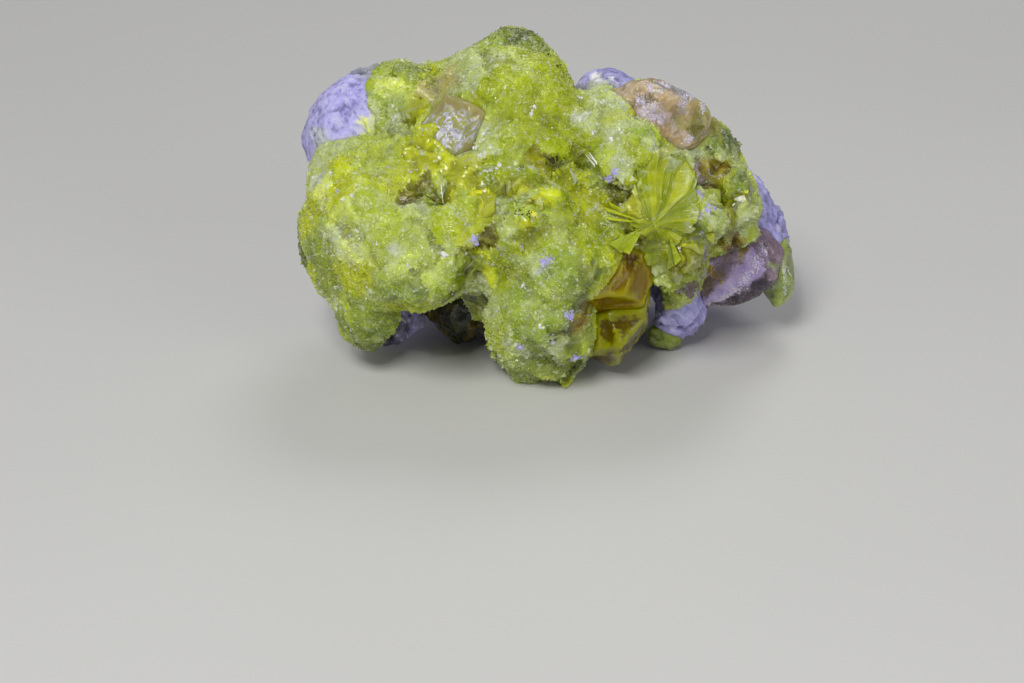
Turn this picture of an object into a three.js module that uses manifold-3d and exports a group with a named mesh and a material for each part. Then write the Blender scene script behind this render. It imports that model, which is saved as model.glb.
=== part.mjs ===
// A loose hand specimen of jouravskite: a sugary yellow crystal mass grown over a chalky,
// lilac-white matrix, with clear amber crystals, an orange grain, a pink grain and a few
// rounded green crystals set in it. It stands on its front lobe, a small green crystal and
// the broad broken base of the matrix.
//
// Millimetres, +Z up, +X to the specimen's right and -Y to its front. The origin is the
// middle of its bounding box, at the surface that it stands on.

import * as THREE from "three";
import { mergeVertices } from "three/addons/utils/BufferGeometryUtils.js";
import Module from "manifold-3d";

const wasm = await Module();
wasm.setup();

// ---- Driving dimensions -------------------------------------------------------------------

const CLEARANCE = 0.3; // open seam between two neighbouring minerals
const SHIFT = new THREE.Vector3(-0.17, 1.07, 0); // from where the growths are set out to the origin
const FACET = 2.5; // typical edge of a facet on a rounded lobe
const BIG = 80; // a block larger than the specimen, which flat cuts make a crystal of

// ---- Small helpers ------------------------------------------------------------------------

// A repeatable random number from 0 to 1 for each whole-number seed.
function random(seed) {
  const x = Math.sin(seed * 127.1 + 311.7) * 43758.5453;
  return x - Math.floor(x);
}

// A vector with three repeatable random numbers from -1 to 1.
function randomVector(seed) {
  const pick = (k) => 2 * random(seed * 3 + k) - 1;
  return new THREE.Vector3(pick(0.1), pick(0.2), pick(0.3));
}

// Evenly spread directions, each nudged a little at random.
function directions(count, jitter, seed) {
  const golden = Math.PI * (3 - Math.sqrt(5));
  return Array.from({ length: count }, (_, i) => {
    const z = 1 - (2 * (i + 0.5)) / count;
    const r = Math.sqrt(1 - z * z);
    const even = new THREE.Vector3(r * Math.cos(i * golden), r * Math.sin(i * golden), z);
    return even.addScaledVector(randomVector(seed + i), jitter).normalize();
  });
}

// A three.js geometry as a manifold solid.
function solidOf(geometry) {
  const bare = geometry.index ? geometry.toNonIndexed() : geometry;
  const onlyPlaces = new THREE.BufferGeometry();
  onlyPlaces.setAttribute("position", bare.getAttribute("position"));
  const merged = mergeVertices(onlyPlaces, 1e-4);
  const mesh = new wasm.Mesh({
    numProp: 3,
    vertProperties: merged.getAttribute("position").array,
    triVerts: new Uint32Array(merged.index.array),
  });
  return new wasm.Manifold(mesh);
}

// The placing of a piece: its centre, and its turns about X, Y and Z in degrees.
function placing({ at, turn = [0, 0, 0] }) {
  const angles = turn.map(THREE.MathUtils.degToRad);
  const rotation = new THREE.Quaternion().setFromEuler(new THREE.Euler(...angles));
  return new THREE.Matrix4().compose(new THREE.Vector3(...at), rotation, new THREE.Vector3(1, 1, 1));
}

// ---- The kinds of growth ------------------------------------------------------------------
//
// Each growth has its centre (at), its half sizes (size) and its turns about X, Y and Z in
// degrees (turn). grow makes the same growth larger all round.

// A rounded lobe of crystal grains: a facetted ball, stretched to its half sizes and made
// lumpy by a few slow waves and by uneven facets.
function lobe(spec, grow = 0) {
  const { size, seed = 1, lumpy = 0.09 } = spec;
  const mean = (size[0] + size[1] + size[2]) / 3;
  const detail = THREE.MathUtils.clamp(Math.round((1.05 * mean) / FACET), 1, 6);
  const geometry = new THREE.IcosahedronGeometry(1, detail);
  const waves = Array.from({ length: 7 }, (_, k) => ({
    along: randomVector(seed * 13 + k).multiplyScalar(1.2 + 0.9 * k),
    phase: 6.28 * random(seed * 7 + k),
    high: 1 / (1 + 0.35 * k),
  }));
  const place = geometry.getAttribute("position");
  const point = new THREE.Vector3();
  for (let i = 0; i < place.count; i++) {
    point.fromBufferAttribute(place, i);
    const swell = waves.reduce((sum, w) => sum + w.high * Math.sin(2 * point.dot(w.along) + w.phase), 0);
    const chipped = 2 * random(Math.round(50 * (point.x + 3 * point.y + 7 * point.z)) + seed) - 1;
    const scale = 1 + lumpy * (0.45 * swell + 0.35 * chipped);
    point.set(
      point.x * (size[0] * scale + grow),
      point.y * (size[1] * scale + grow),
      point.z * (size[2] * scale + grow),
    );
    place.setXYZ(i, point.x, point.y, point.z);
  }
  geometry.applyMatrix4(placing(spec));
  return solidOf(geometry);
}

// What is left of a block after flat cuts. Each cut is a direction and its distance from the
// centre.
function cutBox(spec, cuts, grow) {
  let solid = solidOf(new THREE.BoxGeometry(BIG, BIG, BIG));
  for (const { normal, reach } of cuts) {
    solid = solid.trimByPlane([-normal.x, -normal.y, -normal.z], -(reach + grow));
  }
  return solid.transform(placing(spec).toArray());
}

// A chipped crystal with flat faces that just touch an ellipsoid of its half sizes.
function chip(spec, grow = 0) {
  const { size, seed = 1, faces = 16, uneven = 0.16 } = spec;
  const cuts = directions(faces, 0.35, seed * 17).map((normal, i) => ({
    normal,
    reach:
      Math.hypot(normal.x * size[0], normal.y * size[1], normal.z * size[2]) *
      (1 - uneven * random(seed * 5 + i)),
  }));
  return cutBox(spec, cuts, grow);
}

// A six-sided crystal along its own Z, with a pyramid at each end.
function prism(spec, grow = 0) {
  const { size, point = 0.5 } = spec;
  const cuts = [];
  for (let k = 0; k < 6; k++) {
    const a = (k * Math.PI) / 3;
    const across = size[0] * Math.abs(Math.cos(a)) + size[1] * Math.abs(Math.sin(a));
    cuts.push({ normal: new THREE.Vector3(Math.cos(a), Math.sin(a), 0), reach: across * 0.9 });
    for (const end of [-1, 1]) {
      const normal = new THREE.Vector3(Math.cos(a) * point, Math.sin(a) * point, end).normalize();
      cuts.push({ normal, reach: size[2] * 0.92 });
    }
  }
  return cutBox(spec, cuts, grow);
}

const GROWTHS = { lobe, chip, prism };

// Slow waves that bend the whole specimen, so that no growth stays a true ball or block.
const BENDS = Array.from({ length: 9 }, (_, k) => ({
  push: randomVector(k + 400).normalize().multiplyScalar(0.3 - 0.018 * k),
  along: randomVector(k + 500).normalize().multiplyScalar((2 * Math.PI) / (9.5 - 0.65 * k)),
  phase: 6.28 * random(k + 600),
}));

// A solid after the bends have moved its corners.
function bent(solid) {
  const mesh = solid.getMesh();
  const places = mesh.vertProperties;
  const point = new THREE.Vector3();
  for (let i = 0; i < places.length; i += 3) {
    point.fromArray(places, i);
    const moved = point.clone();
    for (const { push, along, phase } of BENDS) {
      moved.addScaledVector(push, Math.sin(point.dot(along) + phase));
    }
    moved.toArray(places, i);
  }
  return new wasm.Manifold(mesh);
}

// All the growths in a list as one solid.
function grown(list, grow = 0) {
  return bent(wasm.Manifold.union(list.map((spec) => GROWTHS[spec.form ?? "lobe"](spec, grow))));
}

// The outer skin of a solid's largest piece: loose crumbs and sealed pockets fall away.
function outerSkin(solid) {
  const { vertProperties, triVerts } = solid.getMesh();
  const root = Uint32Array.from({ length: vertProperties.length / 3 }, (_, i) => i);
  const find = (i) => {
    while (root[i] !== i) i = root[i] = root[root[i]];
    return i;
  };
  const corners = [0, 1, 2].map(() => new THREE.Vector3());
  const triangles = Array.from({ length: triVerts.length / 3 }, (_, t) => triVerts.subarray(3 * t, 3 * t + 3));
  for (const [a, b, c] of triangles) {
    root[find(b)] = find(a);
    root[find(c)] = find(a);
  }
  const volumes = new Map();
  for (const triangle of triangles) {
    corners.forEach((corner, k) => corner.fromArray(vertProperties, 3 * triangle[k]));
    const shell = find(triangle[0]);
    const volume = corners[0].dot(corners[1].cross(corners[2]));
    volumes.set(shell, (volumes.get(shell) ?? 0) + volume);
  }
  const [outer] = [...volumes].reduce((a, b) => (a[1] > b[1] ? a : b));
  const kept = triangles.filter(([a]) => find(a) === outer).flatMap((triangle) => [...triangle]);
  return { vertProperties, triVerts: new Uint32Array(kept) };
}

// ---- The yellow mass ----------------------------------------------------------------------

const massLobes = [
  { name: "core", at: [-1, -2.6, 10.8], size: [12.0, 4.2, 5.4], seed: 1 },
  { name: "left mass", at: [-11.3, -6.0, 11.3], size: [6.3, 6.7, 5.5], seed: 25 },
  { name: "left shoulder", at: [-13.4, -4.8, 13.3], size: [4.7, 5.8, 4.0], seed: 2 },
  { name: "left front", at: [-9.6, -8.6, 10.0], size: [4.3, 4.8, 3.6], seed: 3 },
  { name: "left flank", at: [-15.0, -4.6, 9.3], size: [3.5, 4.6, 4.5], seed: 4 },
  { name: "left leg", at: [-13.2, -6.6, 5.4], size: [2.6, 2.8, 3.0], seed: 5 },
  { name: "leg drop", at: [-12.9, -7.7, 3.3], size: [1.25, 1.3, 1.2], seed: 6 },
  { name: "left ridge", at: [-10.2, 0.2, 17.6], size: [4.1, 4.2, 3.5], seed: 7 },
  { name: "left valley", at: [-8.4, -4.6, 14.4], size: [3.6, 4.6, 4.0], seed: 23 },
  { name: "top dome", at: [-2.8, -0.9, 18.3], size: [5.1, 5.4, 5.2], seed: 8 },
  { name: "dome front", at: [-2.1, -3.3, 17.1], size: [4.7, 4.7, 4.2], seed: 9 },
  { name: "dome left", at: [-5.0, -0.2, 19.6], size: [3.4, 4.0, 2.9], seed: 10 },
  { name: "peak", at: [-2.3, 0.4, 21.9], size: [2.3, 2.6, 1.9], seed: 11 },
  { name: "frosted saddle", at: [4.4, -2.2, 16.4], size: [3.8, 4.6, 4.2], seed: 12 },
  { name: "right brow", at: [7.4, -0.4, 15.6], size: [5.0, 5.2, 4.3], seed: 13 },
  { name: "right shoulder", at: [11.2, -0.2, 12.9], size: [3.4, 4.4, 4.2], seed: 14 },
  { name: "centre", at: [-3.8, -6.4, 13.6], size: [5.4, 5.6, 3.8], seed: 15 },
  { name: "right centre", at: [7.4, -4.4, 11.6], size: [5.0, 5.0, 4.4], seed: 16 },
  { name: "side block", at: [9.9, -3.9, 7.4], size: [2.1, 2.4, 3.0], seed: 24 },
  { name: "front upper", at: [0.7, -8.2, 10.0], size: [4.4, 5.0, 4.7], seed: 17 },
  { name: "front middle", at: [-0.1, -8.6, 6.3], size: [4.1, 4.4, 4.8], seed: 18 },
  { name: "front foot", at: [-0.7, -8.2, 2.7], size: [3.2, 3.4, 3.0], seed: 19 },
  { name: "yellow slope", at: [-4.6, -6.2, 9.4], size: [4.9, 4.6, 4.2], seed: 20 },
  { name: "slope foot", at: [-3.6, -5.2, 6.6], size: [2.8, 3.4, 2.8], seed: 21 },
  { name: "back drape left", at: [-6.6, 3.8, 17.2], size: [3.8, 4.0, 3.2], seed: 26 },
  { name: "back drape right", at: [7.2, 4.2, 14.6], size: [4.2, 4.4, 3.4], seed: 27 },
  { name: "right side", at: [12.8, -0.8, 10.6], size: [3.2, 3.6, 3.8], seed: 22 },
];

// Blocky crystals stand out of the mass in clusters, joined to it where they grow. Each
// cluster has its middle, its half spread, and its smallest and largest crystal.
const massClusters = [
  { at: [-2.9, -9.3, 13.6], spread: [3.6, 2.2, 1.6], count: 8, size: [1.2, 2.0], seed: 61 },
  { at: [7.2, -7.4, 12.2], spread: [3.4, 1.8, 2.0], count: 9, size: [1.1, 1.9], seed: 62 },
  { at: [4.6, -5.2, 16.8], spread: [2.2, 1.8, 2.6], count: 5, size: [1.0, 1.6], seed: 63 },
  { at: [12.8, -2.9, 11.2], spread: [1.8, 1.6, 2.6], count: 7, size: [1.1, 1.8], seed: 64 },
  { at: [-8.6, -3.6, 17.2], spread: [1.9, 2.2, 1.8], count: 5, size: [1.0, 1.7], seed: 65 },
  { at: [8.4, -6.2, 8.6], spread: [2.2, 1.2, 1.2], count: 4, size: [0.9, 1.4], seed: 66 },
];

// A fan of blades in the right centre, which spread from one root.
const fan = { root: [8.6, -7.6, 10.6], blades: 9, from: 20, to: 200, size: [0.55, 1.0, 2.7] };

// The crystals of a cluster, as a list of chips around its middle.
function cluster({ at, spread, count, size, seed }) {
  return directions(count, 0.5, seed).map((d, i) => ({
    form: "chip",
    at: [at[0] + d.x * spread[0], at[1] + d.y * spread[1], at[2] + d.z * spread[2]],
    size: [0.8, 1, 1.15].map((k) => k * THREE.MathUtils.lerp(size[0], size[1], random(seed + i))),
    turn: randomVector(seed * 11 + i).multiplyScalar(90).toArray(),
    faces: 11,
    seed: seed + i,
  }));
}

// The blades of a fan, as a list of prisms that share a root.
function fanBlades({ root, blades, from, to, size }) {
  return Array.from({ length: blades }, (_, k) => {
    const angle = THREE.MathUtils.lerp(from, to, k / (blades - 1));
    const a = THREE.MathUtils.degToRad(angle);
    const reach = size[2] * (0.75 + 0.4 * random(k + 5));
    return {
      form: "prism",
      at: [root[0] + reach * 0.7 * Math.cos(a), root[1], root[2] + reach * 0.7 * Math.sin(a)],
      size: [size[0] * 1.3, size[1] * 1.6, reach],
      turn: [12 - 24 * random(k), 90 - angle, 0],
    };
  });
}

const massGrowths = [...massLobes, ...massClusters.flatMap(cluster), ...fanBlades(fan)];

// ---- The chalky matrix --------------------------------------------------------------------

const matrixGrowths = [
  { name: "heart", at: [-0.6, 2.4, 10.2], size: [13.2, 4.6, 6.6], seed: 30 },
  { name: "back", form: "chip", at: [-0.8, 5.0, 10.4], size: [13.4, 6.2, 7.8], faces: 34, seed: 31 },
  { name: "back ledge", form: "chip", at: [-4.6, 6.4, 14.4], size: [7.0, 4.0, 4.6], faces: 20, seed: 44 },
  { name: "back block", form: "chip", at: [7.4, 6.4, 8.8], size: [6.0, 4.6, 5.4], faces: 18, seed: 45 },
  { name: "left cap", at: [-14.4, 0.4, 16.6], size: [2.9, 3.8, 4.1], turn: [0, 42, 0], seed: 32 },
  { name: "cap root", at: [-11.8, 3.4, 14.2], size: [5.2, 4.4, 5.2], seed: 41 },
  { name: "right back", form: "chip", at: [12.2, 3.4, 7.8], size: [4.8, 5.0, 5.4], faces: 24, seed: 33 },
  { name: "right edge", at: [16.3, 2.0, 8.0], size: [1.9, 3.2, 4.2], turn: [0, -16, 0], seed: 34 },
  { name: "lump root", at: [-8.6, 0.4, 4.6], size: [3.4, 3.2, 3.0], seed: 42 },
  { name: "left lump", at: [-11.2, -3.2, 3.4], size: [2.0, 2.6, 2.7], lumpy: 0.14, seed: 35 },
  { name: "right lump root", at: [10.4, 0.8, 4.6], size: [3.0, 3.0, 3.0], seed: 43 },
  { name: "right lump", at: [10.2, -2.8, 3.4], size: [2.2, 2.4, 2.6], lumpy: 0.14, seed: 36 },
  { name: "top tip", at: [4.5, 2.2, 17.2], size: [2.6, 2.6, 3.6], seed: 37 },
  { name: "base", form: "chip", at: [0.2, 4.4, 4.4], size: [9.6, 5.6, 5.2], faces: 26, seed: 38 },
];

// ---- The set crystals and grains ----------------------------------------------------------

const amberUpper = [
  { form: "chip", at: [4.3, -7.9, 8.3], size: [3.2, 2.7, 2.8], turn: [0, 20, 0], faces: 13, seed: 51 },
];
const amberLower = [
  { form: "chip", at: [4.7, -7.4, 3.9], size: [2.1, 2.5, 3.5], turn: [0, 46, 0], faces: 14, seed: 52 },
];
const windowCrystal = [
  { form: "chip", at: [-6.7, -5.0, 18.0], size: [2.5, 2.4, 2.9], turn: [-12, 10, 0], faces: 15, seed: 53 },
];
const orangeGrain = [
  { at: [8.3, -1.8, 18.2], size: [3.7, 3.0, 2.8], turn: [0, 28, 0], lumpy: 0.14, seed: 54 },
];
const pinkGrain = [{ at: [13.5, -1.2, 6.1], size: [4.0, 3.0, 2.9], turn: [0, -14, 0], seed: 55 }];
const endCrystal = [{ at: [17.6, 0.4, 5.0], size: [1.5, 1.9, 2.4], turn: [0, -16, 0], seed: 56 }];
const footCrystal = [{ at: [8.9, -3.6, 1.1], size: [1.4, 1.4, 1.4], seed: 57 }];
const caveGrain = [{ at: [-5.9, -2.2, 3.2], size: [3.4, 2.8, 2.5], seed: 58 }];

// ---- Fitting the minerals together --------------------------------------------------------

// The order of fitting: earlier minerals keep their whole shape, and later ones give way to
// them by the clearance.
const MINERALS = [
  { name: "amber_crystal_upper", color: 0x9a8a10, roughness: 0.12, growths: amberUpper },
  { name: "amber_crystal_lower", color: 0xa39a14, roughness: 0.12, growths: amberLower },
  { name: "window_crystal", color: 0xb0a85c, roughness: 0.1, growths: windowCrystal },
  { name: "orange_grain", color: 0xb08a62, roughness: 0.35, growths: orangeGrain },
  { name: "foot_crystal", color: 0x7c9440, roughness: 0.4, growths: footCrystal },
  { name: "end_crystal", color: 0x8aa060, roughness: 0.4, growths: endCrystal },
  { name: "pink_grain", color: 0x9a8090, roughness: 0.6, growths: pinkGrain },
  { name: "cave_grain", color: 0x5c4420, roughness: 0.4, growths: caveGrain },
  { name: "chalky_matrix", color: 0xb8b0e0, roughness: 0.95, growths: matrixGrowths },
  { name: "jouravskite_mass", color: 0xb8c44c, roughness: 0.5, growths: massGrowths },
];

const specimen = new THREE.Group();
let taken = null; // the room that the earlier minerals and their clearance take
for (const { name, color, roughness, growths } of MINERALS) {
  let solid = grown(growths).trimByPlane([0, 0, 1], 0);
  if (taken) solid = solid.subtract(taken);
  const room = grown(growths, CLEARANCE);
  taken = taken ? taken.add(room) : room;

  const { vertProperties, triVerts } = outerSkin(solid);
  const geometry = new THREE.BufferGeometry();
  geometry.setAttribute("position", new THREE.BufferAttribute(vertProperties, 3));
  geometry.setIndex(new THREE.BufferAttribute(triVerts, 1));
  const mesh = new THREE.Mesh(geometry, new THREE.MeshStandardMaterial({ color, roughness }));
  mesh.name = name;
  mesh.position.copy(SHIFT);
  specimen.add(mesh);
}

export default specimen;
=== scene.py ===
"""A loose jouravskite hand specimen on a pale studio floor.

The stone pieces are grown from the frame's solids: each solid becomes a distance field, gets
the lumps, facets and wrinkles of its own mineral, and is meshed again in its place.
Sizes are in millimetres up to the moment that a mesh is made, which is in metres.
"""

import logging
import math
from collections.abc import Mapping, Sequence
from dataclasses import dataclass, field, replace
from enum import Enum

import bmesh
import bpy
import numpy as np
import openvdb
from mathutils import Euler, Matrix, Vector


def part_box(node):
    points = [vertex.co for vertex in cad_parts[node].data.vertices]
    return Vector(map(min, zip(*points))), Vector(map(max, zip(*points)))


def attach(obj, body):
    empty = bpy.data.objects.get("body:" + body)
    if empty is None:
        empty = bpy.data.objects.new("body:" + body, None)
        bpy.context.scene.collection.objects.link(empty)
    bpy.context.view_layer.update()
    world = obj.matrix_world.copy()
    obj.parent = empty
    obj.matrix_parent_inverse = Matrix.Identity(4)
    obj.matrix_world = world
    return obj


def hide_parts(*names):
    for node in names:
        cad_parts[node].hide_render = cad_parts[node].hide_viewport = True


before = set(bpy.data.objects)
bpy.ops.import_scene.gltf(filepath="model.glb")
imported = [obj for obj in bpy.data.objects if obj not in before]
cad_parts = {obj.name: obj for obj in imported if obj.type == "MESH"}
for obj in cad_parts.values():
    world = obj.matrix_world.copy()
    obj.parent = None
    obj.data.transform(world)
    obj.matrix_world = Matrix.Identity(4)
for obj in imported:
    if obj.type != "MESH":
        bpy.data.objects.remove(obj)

Array = np.ndarray
Triple = tuple[float, float, float]
Colour = tuple[float, float, float, float]

LOG = logging.getLogger("specimen")
MM = 0.001
BODY = "root"
BRIGHTER = 1.12  # kinds of stone are shown this much lighter than their shades say
LIGHTEST = 0.9  # the lightest that this may make them, before crests and glints add to it


# ---- Numbers and noise --------------------------------------------------------------------


def linear(red: float, green: float, blue: float) -> Colour:
    """Turn a screen colour of 0 to 255 a channel into a linear one.

    Args:
        red: Red, as a screen shows it.
        green: Green, as a screen shows it.
        blue: Blue, as a screen shows it.

    Returns:
        The linear colour, with an alpha of 1.
    """
    shares = [channel / 255 for channel in (red, green, blue)]
    return (*[s / 12.92 if s <= 0.04 else ((s + 0.055) / 1.055) ** 2.4 for s in shares], 1.0)


def smooth_step(low: float, high: float, value: Array) -> Array:
    """Rise smoothly from 0 at low to 1 at high.

    Args:
        low: Where the rise starts.
        high: Where it ends, which may be below low.
        value: The numbers to map.

    Returns:
        Numbers from 0 to 1.
    """
    t = np.clip((value - low) / (high - low), 0.0, 1.0)
    return t * t * (3 - 2 * t)


def waves(points: Array, length: float, seed: int, count: int = 12) -> Array:
    """Slow, smooth lumps: sine waves in random directions.

    Args:
        points: Places, in millimetres.
        length: Mean wavelength, in millimetres.
        seed: Seed of the random directions.
        count: How many waves are summed.

    Returns:
        Heights that mostly lie between -1 and 1.
    """
    rng = np.random.default_rng(seed)
    total = np.zeros(len(points), np.float32)
    for _ in range(count):
        along = rng.normal(size=3)
        along *= 2 * math.pi / (length * rng.uniform(0.75, 1.35)) / np.linalg.norm(along)
        total += np.sin(points @ along.astype(np.float32) + np.float32(rng.uniform(0, 2 * math.pi)))
    return total / math.sqrt(0.5 * count) / 1.6


def warped(points: Array, length: float, amount: float, seed: int) -> Array:
    """Shift places by slow noise, so that what is drawn at them gets wandering borders.

    Args:
        points: Places, in millimetres.
        length: Wavelength of the noise, in millimetres.
        amount: How far places move, in millimetres.
        seed: Seed of the noise.

    Returns:
        The shifted places.
    """
    shift = np.stack([waves(points, length, seed + axis) for axis in range(3)], axis=1)
    return points + amount * shift


@dataclass(frozen=True)
class Grains:
    """Space split into grains of one size, each round a scattered seed.

    Attributes:
        size: Mean distance between grains, in millimetres.
        seed: Seed of their places.
    """

    size: float
    seed: int

    def nearest(self, points: Array) -> tuple[Array, Array, Array]:
        """Find each point's grain.

        Args:
            points: Places, in millimetres.

        Returns:
            The distance to the grain's seed and the offset from it, both in grain sizes, and
            three numbers from 0 to 1 that belong to the grain.
        """
        entries = 1 << 14
        primes = np.array([73856093, 19349663, 83492791])
        table = np.random.default_rng(self.seed).random((entries, 6), dtype=np.float32)
        scaled = (points / self.size).astype(np.float32)
        cell = np.floor(scaled).astype(np.int64)
        best = np.full(len(points), 9.0, np.float32)
        offset = np.zeros((len(points), 3), np.float32)
        numbers = np.zeros((len(points), 3), np.float32)
        for step in np.ndindex(3, 3, 3):
            near = cell + (np.array(step) - 1)
            key = np.bitwise_xor.reduce(near * primes, axis=1)
            row = table[key & (entries - 1)]
            gap = scaled - (near + row[:, :3])
            far = np.einsum("ij,ij->i", gap, gap).astype(np.float32)
            closer = far < best
            best[closer] = far[closer]
            offset[closer] = gap[closer]
            numbers[closer] = row[closer, 3:]
        return np.sqrt(best), offset, numbers

    def domes(self, points: Array) -> Array:
        """Rounded grains: 1 on top of each grain, down to about 0 in the seams."""
        distance, _, _ = self.nearest(points)
        return 1 - (distance / 0.62) ** 2

    def facets(self, points: Array) -> Array:
        """Flat grains, each tilted its own way, between about -1 and 1."""
        _, offset, numbers = self.nearest(points)
        return np.einsum("ij,ij->i", offset, 2 * numbers - 1) * 1.6 + (numbers[:, 0] - 0.5)


# ---- Stone as a distance field ------------------------------------------------------------


@dataclass(frozen=True)
class Lattice:
    """A box of sample points.

    Attributes:
        low: Lowest corner, in steps.
        shape: Number of samples each way.
        step: Distance between samples, in millimetres.
    """

    low: tuple[int, int, int]
    shape: tuple[int, int, int]
    step: float

    @classmethod
    def around(cls, points: Array, step: float, spare: float = 1.4) -> "Lattice":
        """Lay a lattice round some points.

        Args:
            points: Places, in millimetres.
            step: Distance between samples, in millimetres.
            spare: Room left all round, in millimetres.

        Returns:
            The lattice.
        """
        start = np.floor((points.min(0) - spare) / step).astype(int)
        size = np.ceil((points.max(0) + spare) / step).astype(int) - start
        return cls(tuple(int(v) for v in start), tuple(int(v) for v in size), step)

    def places(self, mask: Array) -> Array:
        """The places, in millimetres, of the samples that a mask marks."""
        return ((np.argwhere(mask) + np.array(self.low)) * self.step).astype(np.float32)


@dataclass
class Stone:
    """The signed distance to a stone's surface on a lattice: negative inside it.

    Attributes:
        lattice: Where the samples lie.
        depth: The distances, in millimetres.
    """

    lattice: Lattice
    depth: Array

    @classmethod
    def of_node(cls, name: str, step: float, spread: float = 1.5) -> "Stone":
        """Measure a node of the frame.

        Args:
            name: The node's name.
            step: Distance between samples, in millimetres.
            spread: How far from the surface distances are kept, in millimetres.

        Returns:
            The node as a distance field.
        """
        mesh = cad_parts[name].data
        mesh.calc_loop_triangles()
        points = np.empty(len(mesh.vertices) * 3, np.float32)
        mesh.vertices.foreach_get("co", points)
        points = points.reshape(-1, 3) / MM
        corners = np.empty(len(mesh.loop_triangles) * 3, np.int32)
        mesh.loop_triangles.foreach_get("vertices", corners)
        lattice = Lattice.around(points, step)
        grid = openvdb.FloatGrid.createLevelSetFromPolygons(
            points,
            triangles=corners.reshape(-1, 3),
            transform=openvdb.createLinearTransform(voxelSize=step),
            halfWidth=spread / step,
        )
        depth = np.empty(lattice.shape, np.float32)
        grid.copyToArray(depth, ijk=lattice.low)
        return cls(lattice, depth)

    def at(self, points: Array) -> Array:
        """Read the distances at some places.

        Args:
            points: Places, in millimetres.

        Returns:
            The distance at each, from the nearest sample, and the farthest one outside the lattice.
        """
        index = np.rint(points / self.lattice.step).astype(int) - np.array(self.lattice.low)
        inside = np.all((index >= 0) & (index < np.array(self.lattice.shape)), axis=1)
        found = np.full(len(points), self.depth.max(), np.float32)
        found[inside] = self.depth[tuple(index[inside].T)]
        return found

    def softened(self, radius: float) -> "Stone":
        """Blur the distances, which rounds edges and fills creases.

        Args:
            radius: The blur's standard deviation, in millimetres.

        Returns:
            The softer stone.
        """
        sigma = radius / self.lattice.step
        reach = max(1, math.ceil(2.5 * sigma))
        taps = np.exp(-0.5 * (np.arange(-reach, reach + 1) / sigma) ** 2).astype(np.float32)
        taps /= taps.sum()
        blurred = self.depth
        for axis in range(3):
            margin = [(reach, reach) if a == axis else (0, 0) for a in range(3)]
            padded = np.moveaxis(np.pad(blurred, margin, mode="edge"), axis, 0)
            length = blurred.shape[axis]
            blurred = np.moveaxis(sum(t * padded[k : k + length] for k, t in enumerate(taps)), 0, axis)
        return Stone(self.lattice, blurred)

    def skin(self, reach: float = 1.0) -> Array:
        """Mark the samples within reach of the surface."""
        return np.abs(self.depth) < reach

    def raised(self, skin: Array, height: Array) -> "Stone":
        """Push the surface out.

        Args:
            skin: The samples that change.
            height: How far each one is pushed out, in millimetres.

        Returns:
            The changed stone.
        """
        depth = self.depth.copy()
        depth[skin] -= height
        return Stone(self.lattice, depth)

    def kept_inside(self, low: Array, high: Array) -> "Stone":
        """Cut away what is outside a box.

        Args:
            low: The box's lowest corner, in millimetres.
            high: Its highest corner, in millimetres.

        Returns:
            The cut stone.
        """
        depth = self.depth
        for axis in range(3):
            line = (np.arange(self.lattice.shape[axis]) + self.lattice.low[axis]) * self.lattice.step
            outside = np.maximum(low[axis] - line, line - high[axis]).astype(np.float32)
            depth = np.maximum(depth, outside.reshape([-1 if a == axis else 1 for a in range(3)]))
        return Stone(self.lattice, depth)

    def surface(self) -> "Surface":
        """Mesh the stone."""
        grid = openvdb.FloatGrid()
        grid.background = float(self.depth.max())
        grid.copyFromArray(np.ascontiguousarray(self.depth), ijk=self.lattice.low)
        grid.transform = openvdb.createLinearTransform(voxelSize=self.lattice.step)
        points, _, quads = grid.convertToPolygons(isovalue=0.0, adaptivity=0.0)
        return Surface(points, quads)


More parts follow.
